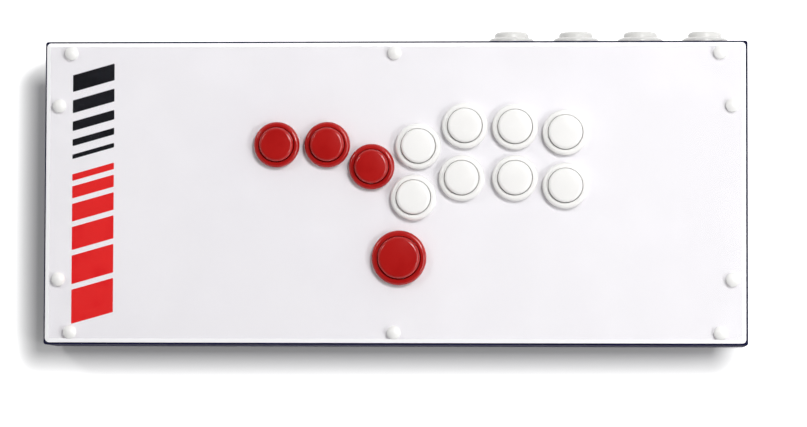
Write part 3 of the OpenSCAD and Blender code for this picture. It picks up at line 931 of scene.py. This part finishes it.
def dressed(obj: bpy.types.Object, finish: Finish, slot: str, body: str = CASE_BODY, *nodes: str) -> None:
    """Gives a new piece its finish and its body, and hides what it stands for.

    Args:
        obj: The piece.
        finish: Its finish.
        slot: The record's material slot; not used.
        body: Body that it rides on.
        *nodes: Nodes of the model that it stands for.
    """
    if not obj.data.materials:
        obj.data.materials.append(finish.material())
    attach(obj, body)
    if nodes:
        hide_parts(*nodes)
    log.info("%s: %d faces on %s", obj.name, len(obj.data.polygons), body)


# Sub-assemblies


@dataclass(frozen=True)
class Seat:
    """Where a button sits: its local axes, its rim's radius, and the names of its nodes."""

    name: str
    place: Matrix
    rim_r: float
    grip: float
    is_red: bool

    @property
    def is_rear(self) -> bool:
        """Says whether it sits in the rear wall."""
        return self.name.startswith("rear")

    @property
    def body(self) -> str:
        """Name of the body that moves with the cap."""
        return f"{self.name}_button"


@dataclass
class Buttons:
    """All the snap-in buttons: a still housing, a cap that travels in it, and the nib that it presses."""

    flange_h: float = 3.2 * MM
    flange_round: float = 2.0 * MM
    flange_steps: int = 8
    bore_edge: float = 0.35 * MM
    cap_rise: float = 7.0 * MM
    cap_edge: float = 2.0 * MM
    dome_r: float = 120 * MM
    dome_rings: int = 5
    cap_steps: int = 7
    cap_wall: float = 1.2 * MM
    cap_fillet: float = 0.8 * MM
    cap_slot: float = 0.35 * MM
    overlap: float = 1.4 * MM
    cap_step: float = 4.0 * MM
    thumb_overlap: float = 1.05 * MM
    thumb_cap_step: float = 5.3 * MM
    barrel_l: float = 21 * MM
    barrel_wall: float = 0.95 * MM
    barrel_gap: float = 0.1 * MM
    floor_t: float = 1.5 * MM
    floor_ring: float = 1 * MM
    foot_edge: float = 0.4 * MM
    barb: tuple[float, float, float] = (5 * MM, 1 * MM, 4 * MM)
    shoulder_z: float = -3 * MM
    stop_z: float = -3.3 * MM
    stop_h: float = 1.2 * MM
    nib_r: float = 1.2 * MM
    nib_z: Point = (-11 * MM, -6.7 * MM)
    post_r: float = 2.2 * MM
    slot_pitch: float = 6.4 * MM
    slot_size: Point = (0.9 * MM, 3.2 * MM)
    steel_t: float = STEEL_T
    fit: float = 0.1 * MM
    reds: tuple[str, ...] = ("left", "down", "right", "up")
    thumb: str = "up"

    def seats(self) -> list[Seat]:
        """Finds each button's seat from the model.

        Returns:
            The seats, in the order of their names.
        """
        panel_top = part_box("clear_panel")[1].z
        case_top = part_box("case_shell")[1].z
        made = []
        for body in sorted(frame["bodies"]):
            if body == CASE_BODY:
                continue
            name = body.removesuffix("_button")
            middle, reach = middle_and_reach(f"{name}_housing")
            high = middle + reach
            if name.startswith("rear"):
                place = at(middle.x, high.y - self.flange_h, middle.z) @ REARWARD
                grip = self.steel_t
            else:
                place = at(middle.x, middle.y, high.z - self.flange_h)
                grip = panel_top - case_top + self.steel_t
            made.append(Seat(name, place, reach.x, grip, name in self.reds))
        return made

    def hole_r(self, seat: Seat) -> float:
        """Gives the radius of the hole that a button snaps into."""
        return seat.rim_r - (self.thumb_overlap if seat.name == self.thumb else self.overlap)

    def cap_r(self, seat: Seat) -> float:
        """Gives the radius of a button's cap."""
        step = self.thumb_cap_step if seat.name == self.thumb else self.cap_step
        return self.hole_r(seat) - step / 2

    def cap(self, seat: Seat) -> bpy.types.Object:
        """Builds a cap: a shallow dome with a round edge, a skirt with a stop rim, and a post.

        Args:
            seat: Where it sits.

        Returns:
            The cap.
        """
        radius = self.cap_r(seat)
        stop_r = self.hole_r(seat) - self.barrel_gap - self.barrel_wall - self.cap_slot
        inner_r = radius - self.cap_wall
        edge_z = self.cap_rise - radius**2 / (2 * self.dome_r)
        under_z = edge_z - self.cap_wall
        stop_low = self.stop_z - self.stop_h
        post_z = self.nib_z[1] + self.fit
        ring_w = (radius - 2 * self.cap_edge) / self.dome_rings
        rings = range(self.dome_rings + 1)
        dome = [(ring_w * k, self.cap_rise - (ring_w * k) ** 2 / (2 * self.dome_r)) for k in rings]
        wall = rounded([
            (*dome[-1], 0),
            (radius, edge_z, self.cap_edge),
            (radius, self.stop_z, SMALL_EDGE),
            (stop_r, self.stop_z, EDGE),
            (stop_r, stop_low, EDGE),
            (inner_r, stop_low, SOFT_EDGE),
            (inner_r, under_z, self.cap_fillet),
            (self.post_r, under_z, FILLET),
            (self.post_r, post_z, SOFT_EDGE),
            (0, post_z, 0),
        ], self.cap_steps)
        bm = bmesh.new()
        turned(bm, [*dome[:-1], *wall], seat.place, ROUND_SIDES)
        return shown(f"{seat.name}_cap_skin", bm)

    def nib(self, seat: Seat) -> bpy.types.Object:
        """Builds the round nib of the switch, which the post presses.

        Args:
            seat: Where the button sits.

        Returns:
            The nib.
        """
        low, high = self.nib_z
        bm = bmesh.new()
        turned(bm, rounded([
            (0, high, 0), (self.nib_r, high, FILLET), (self.nib_r, low, SMALL_EDGE), (0, low, 0),
        ]), seat.place, SMALL_SIDES)
        return shown(f"{seat.name}_nib", bm)

    def housing(self, seat: Seat) -> bpy.types.Object:
        """Builds a housing: a round rim, a barrel with a shoulder and two barbs, and a slotted floor.

        Args:
            seat: Where it sits.

        Returns:
            The housing.
        """
        bore_r = self.cap_r(seat) + self.cap_slot
        barrel_r = self.hole_r(seat) - self.barrel_gap
        wide_r = barrel_r - self.barrel_wall
        floor_z = -self.barrel_l + self.floor_t
        bm = bmesh.new()
        above, below = turned(bm, rounded([
            (wide_r - self.floor_ring, floor_z, 0),
            (wide_r, floor_z, FILLET),
            (wide_r, self.shoulder_z, EDGE),
            (bore_r, self.shoulder_z, EDGE),
            (bore_r, self.flange_h, self.bore_edge),
            (seat.rim_r, self.flange_h, self.flange_round),
            (seat.rim_r, 0, EDGE),
            (barrel_r, 0, FINE_EDGE),
            (barrel_r, -self.barrel_l, self.foot_edge),
            (barrel_r - self.floor_ring, -self.barrel_l, 0),
        ], self.flange_steps), seat.place, ROUND_SIDES, is_open=True)
        half_w, half_d = (x / 2 for x in self.slot_size)
        box = [(half_w, half_d), (-half_w, half_d), (-half_w, -half_d), (half_w, -half_d)]
        tops, bottoms = [], []
        for side in (-1, 1):
            x = side * self.slot_pitch / 2
            for rings, z in ((tops, floor_z), (bottoms, -self.barrel_l)):
                rings.append([bm.verts.new(seat.place @ Vector((x + dx, dy, z))) for dx, dy in box])
            bridge(bm, tops[-1], bottoms[-1])
        axes = (0, 2) if seat.is_rear else (0, 1)
        fill(bm, above, tops, axes)
        fill(bm, below, bottoms, axes)
        width, out, height = self.barb
        root = -self.barrel_wall / 2
        wedge = [(root, 0), (out, 0), (out, -height / 4), (FINE_EDGE, -height), (root, -height)]
        for turn in (90, 270):
            spin = Matrix.Rotation(math.radians(turn), 4, "Z")
            stand = at(barrel_r, 0, -seat.grip - self.fit) @ Matrix.Rotation(math.radians(90), 4, "X")
            prism(bm, wedge, seat.place @ spin @ stand, -width / 2, width / 2)
        return shown(f"{seat.name}_rim_and_barrel", bm)

    def build(self) -> None:
        """Builds, dresses and seats every button."""
        for seat in self.seats():
            finish, slot = (RED_PLASTIC, "button_red") if seat.is_red else (WHITE_PLASTIC, "button_white")
            # Rear caps and housings take the white plastic painted greyer, as painted shade.
            if seat.is_rear:
                finish = REAR_PAINTED_SHADE_PLASTIC
            dressed(self.cap(seat), finish, slot, seat.body, f"{seat.name}_cap")
            dressed(self.nib(seat), SWITCH_PLASTIC, "switch_plastic", seat.body)
            dressed(self.housing(seat), finish, slot, CASE_BODY, f"{seat.name}_housing")


def button_holes(buttons: Buttons, on_rear: bool) -> list[Hole]:
    """Lists the holes of the buttons on top, or of those on the rear wall.

    Args:
        buttons: The buttons.
        on_rear: True for the rear wall, False for the top.

    Returns:
        The holes.
    """
    return [
        Hole(seat.place, buttons.hole_r(seat))
        for seat in buttons.seats()
        if seat.is_rear == on_rear
    ]


@dataclass
class ScrewRows:
    """Places of the panel screws, worked out from the case's box."""

    corner_inset: float = 16 * MM
    row_inset: float = 7.25 * MM
    side_inset: float = 9 * MM
    side_y: float = 51 * MM

    def places(self) -> list[Point]:
        """Lists where the screws stand.

        Returns:
            The two rows, then the four at the sides.
        """
        middle, reach = middle_and_reach("case_shell")
        inner_x, inner_y = reach.x - self.corner_inset, reach.y - self.row_inset
        rows = spread(middle, inner_x, inner_y, (-1, 0, 1))
        return rows + spread(middle, reach.x - self.side_inset, self.side_y)


@dataclass
class CaseBox:
    """The folded steel case and its base plate, with every hole that goes through them."""

    buttons: Buttons
    screws: ScrewRows
    steel_t: float = STEEL_T
    corner: float = 1.5 * MM
    bend_r: float = 1.3 * MM
    inner_bend_r: float = 0.5 * MM
    bend_steps: int = 6
    flat_w: float = 0.4 * MM
    lip_w: float = 12 * MM
    shank_r: float = SHANK_R
    small_shank_r: float = 1.75 * MM
    base_inset: float = 0.5 * MM
    base_flat_w: float = 0.6 * MM
    post_r: float = 3.5 * MM
    post_hole_r: float = 2.6 * MM
    base_screw_corner: float = 20 * MM
    foot_inset: float = 32 * MM
    inlet_screw: Point = (9.5 * MM, 12 * MM)
    inlet_nose_r: float = 11.1 * MM
    countersink: float = 1.2 * MM

    def section(self, bottom: float, top: float) -> list[Point]:
        """Draws the folded section from the top face round to its underside.

        Args:
            bottom: Height of the case's lowest edge.
            top: Height of its top.

        Returns:
            How far in each point lies, and its height.
        """
        t, lip = self.steel_t, self.steel_t + self.lip_w
        return rounded([
            (self.bend_r + self.flat_w, top, 0),
            (0, top, self.bend_r),
            (0, bottom, self.bend_r),
            (lip, bottom, EDGE),
            (lip, bottom + t, EDGE),
            (t, bottom + t, self.inner_bend_r),
            (t, top - t, self.inner_bend_r),
            (t + 2 * self.inner_bend_r, top - t, 0),
        ], self.bend_steps)

    def rear_holes(self) -> list[Hole]:
        """Lists the holes of the rear wall: four buttons, the inlet's nose and its two screws.

        Returns:
            The holes.
        """
        middle = middle_and_reach("usb_inlet")[0]
        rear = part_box("case_shell")[1].y
        across, up = self.inlet_screw
        made = button_holes(self.buttons, True)
        made.append(Hole(at(middle.x, rear, middle.z) @ REARWARD, self.inlet_nose_r))
        for side in (-1, 1):
            place = at(middle.x + side * across, rear, middle.z - side * up) @ REARWARD
            made.append(Hole(place, self.small_shank_r, FINE_EDGE, SMALL_SIDES, self.countersink))
        return made

    def shell(self) -> bpy.types.Object:
        """Builds the folded case.

        Returns:
            The case.
        """
        low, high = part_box("case_shell")
        outline = node_outline("case_shell", self.corner)
        path = self.section(low.z, high.z)
        bm = bmesh.new()
        sweep = [[bm.verts.new((x, y, z)) for x, y in outline.ring(inset)] for inset, z in path]
        rear_side = outline.steps
        half_h = (high.z - low.z) / 2
        walls = []
        for one, other, start, end in zip(sweep, sweep[1:], path, path[1:]):
            is_wall = abs(start[1] - end[1]) > half_h
            bridge(bm, one, other, rear_side if is_wall else -1)
            if is_wall:
                walls.append([one[rear_side], one[rear_side + 1], other[rear_side + 1], other[rear_side]])
        through = [hole.rings(bm, 0, -self.steel_t) for hole in self.rear_holes()]
        for wall, rings in zip(walls, zip(*through)):
            fill(bm, wall, rings, (0, 2))
        spots = [Hole(at(x, y), self.shank_r, count=SMALL_SIDES) for x, y in self.screws.places()]
        tops = [Hole(at(*h.place.translation[:2]), h.radius) for h in button_holes(self.buttons, False)]
        through = [hole.rings(bm, high.z, high.z - self.steel_t) for hole in tops + spots]
        fill(bm, sweep[0], [rings[0] for rings in through])
        fill(bm, sweep[-1], [rings[1] for rings in through])
        return shown("folded_case", bm)

    def base(self) -> bpy.types.Object:
        """Builds the base plate, with holes for its screws, the feet and the board's standoffs.

        Returns:
            The base plate.
        """
        low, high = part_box("base_plate")
        middle, reach = middle_and_reach("case_shell")
        posts, posts_reach = middle_and_reach("board_standoffs")
        lip_middle = self.steel_t + self.lip_w / 2
        row_y = reach.y - lip_middle
        spots = spread(middle, reach.x - self.base_screw_corner, row_y, (-1, 0, 1))
        spots += [(middle.x + a * (reach.x - lip_middle), middle.y) for a in (-1, 1)]
        spots += spread(middle, reach.x - self.foot_inset, reach.y - self.foot_inset)
        holes = [Hole(at(*spot), self.small_shank_r, FINE_EDGE, SMALL_SIDES) for spot in spots]
        spots = spread(posts, posts_reach.x - self.post_r, posts_reach.y - self.post_r)
        holes += [Hole(at(*spot), self.post_hole_r, FINE_EDGE, SMALL_SIDES) for spot in spots]
        rim = rounded([
            (self.base_flat_w, high.z, 0), (0, high.z, EDGE), (0, low.z, EDGE), (self.base_flat_w, low.z, 0),
        ], EDGE_STEPS)
        bm = bmesh.new()
        plate(bm, node_outline("case_shell", self.corner, self.base_inset), rim, holes)
        return shown("base_sheet", bm)

    def build(self) -> None:
        """Builds and dresses the case and its base plate."""
        dressed(self.shell(), NAVY_PAINT, "case_paint", CASE_BODY, "case_shell")
        dressed(self.base(), NAVY_PAINT, "case_paint", CASE_BODY, "base_plate")


@dataclass
class TopPanel:
    """What covers the case: the printed sheet, its bars, the clear panel and the domed screws."""

    buttons: Buttons
    screws: ScrewRows
    corner: float = 2.5 * MM
    bevel: Point = (2.2 * MM, 1.0 * MM)
    clear_edge: float = 0.12 * MM
    print_edge: float = 0.02 * MM
    flat_z: float = 0.999
    shank_r: float = SHANK_R
    head_r: float = 4 * MM
    head_h: float = 2.3 * MM
    head_edge: float = 0.4 * MM
    screw_r: float = 2 * MM
    sides: int = 48
    dome_steps: int = 12
    dome_turn: float = 2
    thread_top: float = -1.2 * MM
    seat_shrink: float = 0.05 * MM
    seat_edge: float = 0.08 * MM
    ink_gap: Point = (0.015 * MM, 0.055 * MM)
    bar_x: Point = (15.1 * MM, 39.7 * MM)
    bar_slope: float = 7 * MM
    bar_corner: float = 0.35 * MM
    black_bars: tuple[float, ...] = (6.0, 4.6, 3.4, 2.4, 1.6)
    black_span: Point = (11.5 * MM, 68 * MM)
    black_gap: float = 0.5
    red_bars: tuple[float, ...] = (3.0, 5.5, 8.0, 10.5, 13.0, 15.5)
    red_span: Point = (70 * MM, 165 * MM)
    red_gap: float = 0.22

    def holes(self, edge: float) -> list[Hole]:
        """Lists the holes that the sheets on top share."""
        made = [Hole(at(*h.place.translation[:2]), h.radius, edge) for h in button_holes(self.buttons, False)]
        return made + [Hole(at(x, y), self.shank_r, edge, SMALL_SIDES) for x, y in self.screws.places()]

    def clear(self) -> bpy.types.Object:
        """Builds the clear panel, whose bevel has a finish of its own.

        Returns:
            The panel.
        """
        low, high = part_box("clear_panel")
        wide, tall = self.bevel
        rim = rounded([
            (wide + SOFT_EDGE, high.z, 0),
            (wide, high.z, FINE_EDGE),
            (0, high.z - tall, EDGE),
            (0, low.z, self.clear_edge),
            (FILLET, low.z, 0),
        ], EDGE_STEPS)
        bm = bmesh.new()
        outline = node_outline("clear_panel", self.corner)
        plate(bm, outline, rim, self.holes(self.clear_edge))
        obj = shown("clear_cover", bm)
        obj.data.materials.append(CLEAR_ACRYLIC.material())
        obj.data.materials.append(BEVELLED_ACRYLIC.material())
        half_w, half_d = outline.width / 2, outline.depth / 2
        for face in obj.data.polygons:
            from_side = half_w - abs(face.center.x - outline.centre[0])
            from_end = half_d - abs(face.center.y - outline.centre[1])
            if min(from_side, from_end) < wide and abs(face.normal.z) < self.flat_z:
                face.material_index = 1
        return obj

    def art(self) -> bpy.types.Object:
        """Builds the printed sheet.

        Returns:
            The sheet.
        """
        low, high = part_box("art_sheet")
        rim = [(0, high.z), (0, low.z)]
        bm = bmesh.new()
        plate(bm, node_outline("art_sheet", self.corner / 2), rim, self.holes(self.print_edge))
        return shown("art_print", bm)

    def bars(self, name: str, weights: Sequence[float], span: Point, gap_share: float) -> bpy.types.Object:
        """Builds a run of slanted printed bars that grow along the sheet.

        Args:
            name: Name of the piece.
            weights: Relative width of each bar.
            span: Where the run starts and ends, from the sheet's rear edge.
            gap_share: Share of the run that stays unprinted.

        Returns:
            The bars.
        """
        low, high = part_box("art_sheet")
        left, right = low.x + self.bar_x[0], low.x + self.bar_x[1]
        room = span[1] - span[0] - self.bar_slope
        gap = gap_share * room / len(weights)
        unit = (room - gap * (len(weights) - 1)) / sum(weights)
        y = high.y - span[0] - self.bar_slope
        bm = bmesh.new()
        for weight in weights:
            tall = weight * unit
            right_y = y + self.bar_slope
            corners = ((left, y), (right, right_y), (right, right_y - tall), (left, y - tall))
            quad = [(*corner, self.bar_corner) for corner in corners]
            outline = rounded([quad[-1], *quad, quad[0]], EDGE_STEPS)[1:-1]
            prism(bm, outline, at(0, 0, high.z), *self.ink_gap)
            y -= tall + gap
        return shown(name, bm)

    def screw_set(self) -> bpy.types.Object:
        """Builds the ten domed screws with their threads.

        Returns:
            The screws, as one piece.
        """
        low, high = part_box("panel_screws")
        seat_z = high.z - self.head_h
        dome_h = self.head_h - self.head_edge
        dome_r = (self.head_r**2 + dome_h**2) / (2 * dome_h)
        centre_z = self.head_h - dome_r
        edge_angle = math.degrees(math.asin((self.head_edge - centre_z) / dome_r))
        dome = arc((0, centre_z), dome_r, 90, edge_angle + self.dome_turn, self.dome_steps)
        tip = low.z - seat_z
        thread = Thread(tip + SOFT_EDGE, self.thread_top)
        outline = [(0, self.head_h), *dome[1:]]
        outline += rounded([
            (*dome[-1], 0),
            (self.head_r, self.head_edge / 2, SMALL_EDGE),
            (self.head_r - self.seat_shrink, 0, self.seat_edge),
            (self.screw_r, 0, 0),
        ], 4)[1:]
        outline += [(self.screw_r, z) for z in reversed(thread.levels())]
        outline += [(self.screw_r - SOFT_EDGE, tip), (0, tip)]
        bm = bmesh.new()
        for x, y in self.screws.places():
            turned(bm, outline, at(x, y, seat_z), self.sides, thread)
        return shown("domed_screws", bm)

    def build(self) -> None:
        """Builds and dresses the sheets, the bars and the screws."""
        dressed(self.art(), PRINTED_SHEET, "art_print", CASE_BODY, "art_sheet")
        black = self.bars("black_bars", self.black_bars, self.black_span, self.black_gap)
        dressed(black, BLACK_INK, "art_print")
        dressed(self.bars("red_bars", self.red_bars, self.red_span, self.red_gap), RED_INK, "art_print")
        dressed(self.clear(), CLEAR_ACRYLIC, "clear_acrylic", CASE_BODY, "clear_panel")
        dressed(self.screw_set(), NYLON, "white_nylon", CASE_BODY, "panel_screws")


@dataclass
class Feet:
    """Four moulded rubber feet, each with a recess for its screw and a grooved sole."""

    sole_r: float = 10 * MM
    sole_edge: float = 0.9 * MM
    top_edge: float = 0.25 * MM
    flare: float = 1 * MM
    groove_edge: float = 0.08 * MM
    recess_r: float = 3.775 * MM
    recess_h: float = 2.5 * MM
    bore_r: float = 1.75 * MM
    groove: Point = (0.5 * MM, 0.4 * MM)
    groove_rs: tuple[float, ...] = (5.6 * MM, 7.4 * MM)

    def build(self) -> None:
        """Builds and dresses the feet."""
        low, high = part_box("rubber_feet")
        middle, reach = middle_and_reach("rubber_feet")
        height = high.z - low.z
        top_r = self.sole_r + self.flare
        sole = []
        for radius in reversed(self.groove_rs):
            half, deep = self.groove[0] / 2, self.groove[1]
            sole += [
                (radius + half, 0, self.groove_edge), (radius + half, deep, FINE_EDGE),
                (radius - half, deep, FINE_EDGE), (radius - half, 0, self.groove_edge),
            ]
        outline = rounded([
            (self.bore_r, height - FILLET, 0),
            (self.bore_r, height, FINE_EDGE),
            (top_r, height, self.top_edge),
            (self.sole_r, 0, self.sole_edge),
            *sole,
            (self.recess_r, 0, EDGE),
            (self.recess_r, self.recess_h, SOFT_EDGE),
            (self.bore_r, self.recess_h, FINE_EDGE),
            (self.bore_r, self.recess_h + FILLET, 0),
        ])
        bm = bmesh.new()
        for x, y in spread(middle, reach.x - top_r, reach.y - top_r):
            turned(bm, outline, at(x, y, low.z))
        dressed(shown("moulded_feet", bm), RUBBER, "foot_rubber", CASE_BODY, "rubber_feet")


@dataclass
class Carried:
    """The nodes that keep the model's own shape: small fasteners, the inlet, the switches and the wiring."""

    edge: float = 0.12 * MM
    edge_segments: int = 2
    edge_angle: float = 40
    weld_gap: float = 0.001 * MM
    finishes: dict[str, Finish] = field(default_factory=lambda: {
        "base_screws": DARK_STEEL,
        "base_nuts": ZINC_STEEL,
        "foot_screws": DARK_STEEL,
        "foot_nuts": ZINC_STEEL,
        "press_nuts": ZINC_STEEL,
        "switch_bodies": SWITCH_PLASTIC,
        "switch_terminals": BRASS,
        "wire_receptacles": RECEPTACLE_RED,
        "branch_wires": WIRE_YELLOW,
        "loom_sleeve": SLEEVE_BLACK,
        "cable_clips": CLIP_NYLON,
        "control_board": BOARD_GREEN,
        "board_components": CHIP_BLACK,
        "board_header": CONNECTOR_BLACK,
        "loom_plug": CONNECTOR_BLACK,
        "board_standoffs": ZINC_STEEL,
        "board_screws": ZINC_STEEL,
        "usb_inlet": INLET_BLACK,
        "usb_socket": SOCKET_METAL,
        "inlet_screws": DARK_STEEL,
        "inlet_nuts": ZINC_STEEL,
        "usb_lead": SLEEVE_BLACK,
    })
    plain: tuple[str, ...] = ("branch_wires", "loom_sleeve", "usb_lead")

    def build(self) -> None:
        """Dresses each node, and breaks its edges where it has any."""
        for name, finish in self.finishes.items():
            obj = frame["nodes"][name]
            for slot in obj.material_slots:
                slot.material = finish.material()
            if not obj.material_slots:
                obj.data.materials.append(finish.material())
            if name not in self.plain:
                weld = obj.modifiers.new("Weld", "WELD")
                weld.merge_threshold = self.weld_gap
                broken = obj.modifiers.new("Broken edges", "BEVEL")
                broken.width = self.edge
                broken.segments = self.edge_segments
                broken.limit_method = "ANGLE"
                broken.angle_limit = math.radians(self.edge_angle)
                broken.harden_normals = True
            log.info("%s: kept, in %s", name, finish.name)


# Setting


@dataclass
class Lamp:
    """A soft rectangular lamp that looks at the middle of the panel."""

    name: str
    place: tuple[float, float, float]
    size: Point
    power: float

    def build(self, aim: Vector) -> None:
        """Hangs the lamp.

        Args:
            aim: Point that it looks at.
        """
        data = bpy.data.lights.new(self.name, "AREA")
        data.shape = "RECTANGLE"
        data.size, data.size_y = self.size
        data.energy = self.power
        obj = bpy.data.objects.new(self.name, data)
        obj.location = self.place
        obj.rotation_mode = "QUATERNION"
        obj.rotation_quaternion = (aim - obj.location).to_track_quat("-Z", "Y")
        bpy.context.scene.collection.objects.link(obj)


@dataclass
class Studio:
    """The pale floor, the soft light and the camera above the panel."""

    lamps: tuple[Lamp, ...] = (
        Lamp("key", (0.52, 0.50, 1.62), (0.34, 0.34), 13.5),
        Lamp("side_box", (0.92, -0.16, 1.12), (0.7, 0.30), 5.6),
        Lamp("left_box", (-0.86, 0.52, 1.15), (0.26, 0.26), 2.6),
    )
    floor_half: float = 4.0
    floor_cells: int = 8
    floor_colour: Colour = (0.93, 0.93, 0.935)
    floor_drift: float = 0.985
    floor_gloss: Point = (0.9, 0.1)
    speckle_scale: float = 240
    # Painted glow on the floor, and the box, shifted to the lower left, in which it fades out so that the
    # shadow there shows.
    painted_floor_glow: float = 0.8
    shade_centre: Point = (-15.5 * MM, -15.5 * MM)
    shade_half: Point = (200.5 * MM, 78 * MM)
    shade_fade: Point = (2 * MM, 20 * MM)
    sky_stops: tuple[Point, ...] = (
        (0.0, 1.0), (0.12, 0.98), (0.42, 0.68), (0.72, 0.28), (0.92, 0.06), (1.0, 0.03),
    )
    sky_level: float = 0.82
    sky_lean: Point = (0.30, 0.10)
    distance: float = 2.2
    near: float = 0.05
    focal: float = 167.75
    sensor: float = 36
    aim: Point = (5.51 * MM, -15.87 * MM)
    tilt: float = 3.244
    side_tilt: float = 3.078
    roll: float = 0.188

    def floor(self) -> None:
        """Lays the floor, with a painted glow that turns it white away from a box shifted to the object's
        lower left, where the shadow shows.
        """
        bm = bmesh.new()
        cells = self.floor_cells
        bmesh.ops.create_grid(bm, x_segments=cells, y_segments=cells, size=self.floor_half)
        mesh = bpy.data.meshes.new("floor")
        bm.to_mesh(mesh)
        bm.free()
        obj = bpy.data.objects.new("floor", mesh)
        bpy.context.scene.collection.objects.link(obj)
        made = bpy.data.materials.new("pale-floor")
        made.use_nodes = True
        graph = Graph(made.node_tree)
        shader = graph.add("ShaderNodeBsdfPrincipled")
        for name, number in zip(("Roughness", "Specular IOR Level"), self.floor_gloss):
            shader.inputs[name].default_value = number
        where = graph.add("ShaderNodeTexCoord").outputs["Object"]
        speckle = graph.noise(where, self.speckle_scale, EVEN_DETAIL)
        darker = tuple(self.floor_drift * x for x in self.floor_colour)
        graph.join(graph.blend(speckle, darker, self.floor_colour), shader.inputs["Base Color"])
        # Painted light: the floor glows for the camera and for reflections, more the farther it lies from the
        # shadow box.
        painted_glow = graph.add("ShaderNodeEmission")
        painted_glow.inputs["Color"].default_value = WHITE
        beyond = graph.vector("SUBTRACT", where, (*self.shade_centre, 0))
        beyond = graph.vector("ABSOLUTE", beyond)
        beyond = graph.vector("SUBTRACT", beyond, (*self.shade_half, 1))
        beyond = graph.vector("LENGTH", graph.vector("MAXIMUM", beyond))
        away = graph.span(beyond, self.shade_fade, (0.0, self.painted_floor_glow))
        path = graph.add("ShaderNodeLightPath")
        seen = graph.math("MAXIMUM", path.outputs["Is Camera Ray"], path.outputs["Is Glossy Ray"])
        seen = graph.math("MAXIMUM", seen, path.outputs["Is Transmission Ray"])
        graph.join(graph.math("MULTIPLY", away, seen), painted_glow.inputs["Strength"])
        both = graph.add("ShaderNodeAddShader")
        graph.join(shader.outputs[0], both.inputs[0])
        graph.join(painted_glow.outputs[0], both.inputs[1])
        graph.join(both.outputs[0], graph.add("ShaderNodeOutputMaterial").inputs["Surface"])
        mesh.materials.append(made)

    def world(self) -> None:
        """Surrounds the object with light that is bright at the horizon and dimmer overhead."""
        made = bpy.data.worlds.new("studio")
        made.use_nodes = True
        bpy.context.scene.world = made
        graph = Graph(made.node_tree)
        where = graph.add("ShaderNodeTexCoord").outputs["Generated"]
        parts = graph.parts(where)
        ramp = graph.add("ShaderNodeValToRGB")
        for height, _ in self.sky_stops[1:-1]:
            ramp.color_ramp.elements.new(height)
        for element, (height, level) in zip(ramp.color_ramp.elements, self.sky_stops):
            element.position = height
            element.color = (level, level, level, 1)
        graph.join(parts["Z"], ramp.inputs[0])
        east = graph.math("MULTIPLY", parts["X"], self.sky_lean[0])
        north = graph.math("MULTIPLY", parts["Y"], self.sky_lean[1])
        lean = graph.math("ADD", graph.math("ADD", east, north), self.sky_level)
        sky = graph.add("ShaderNodeBackground")
        graph.join(ramp.outputs[0], sky.inputs["Color"])
        graph.join(lean, sky.inputs["Strength"])
        graph.join(sky.outputs[0], graph.add("ShaderNodeOutputWorld").inputs["Surface"])

    def camera(self, aim: Vector) -> None:
        """Places the camera above the panel, a little to the front and the right.

        Args:
            aim: Point of the panel that the view turns about.
        """
        data = bpy.data.cameras.new("camera")
        data.lens = self.focal
        data.sensor_width = self.sensor
        data.clip_start = self.near
        obj = bpy.data.objects.new("camera", data)
        turn = Matrix.Rotation(math.radians(self.side_tilt), 4, "Y")
        turn @= Matrix.Rotation(math.radians(self.tilt), 4, "X")
        turn @= Matrix.Rotation(math.radians(self.roll), 4, "Z")
        centre = Vector((*self.aim, aim.z))
        obj.matrix_world = Matrix.Translation(centre + turn.to_3x3() @ Vector((0, 0, self.distance))) @ turn
        bpy.context.scene.collection.objects.link(obj)
        bpy.context.scene.camera = obj

    def build(self) -> None:
        """Builds the whole setting."""
        low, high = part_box("clear_panel")
        aim = Vector(((low.x + high.x) / 2, (low.y + high.y) / 2, high.z))
        self.camera(aim)
        self.floor()
        self.world()
        for lamp in self.lamps:
            lamp.build(aim)
        bpy.context.scene.view_settings.view_transform = "Standard"
        log.info("setting: %d lamps, camera %.2f m above the panel", len(self.lamps), self.distance)


def main() -> None:
    """Builds the setting and every sub-assembly, in order."""
    Studio().build()
    buttons = Buttons()
    screws = ScrewRows()
    CaseBox(buttons, screws).build()
    TopPanel(buttons, screws).build()
    buttons.build()
    Feet().build()
    Carried().build()


if __name__ == "__main__":
    logging.basicConfig(level=logging.INFO, format="%(message)s")
    main()
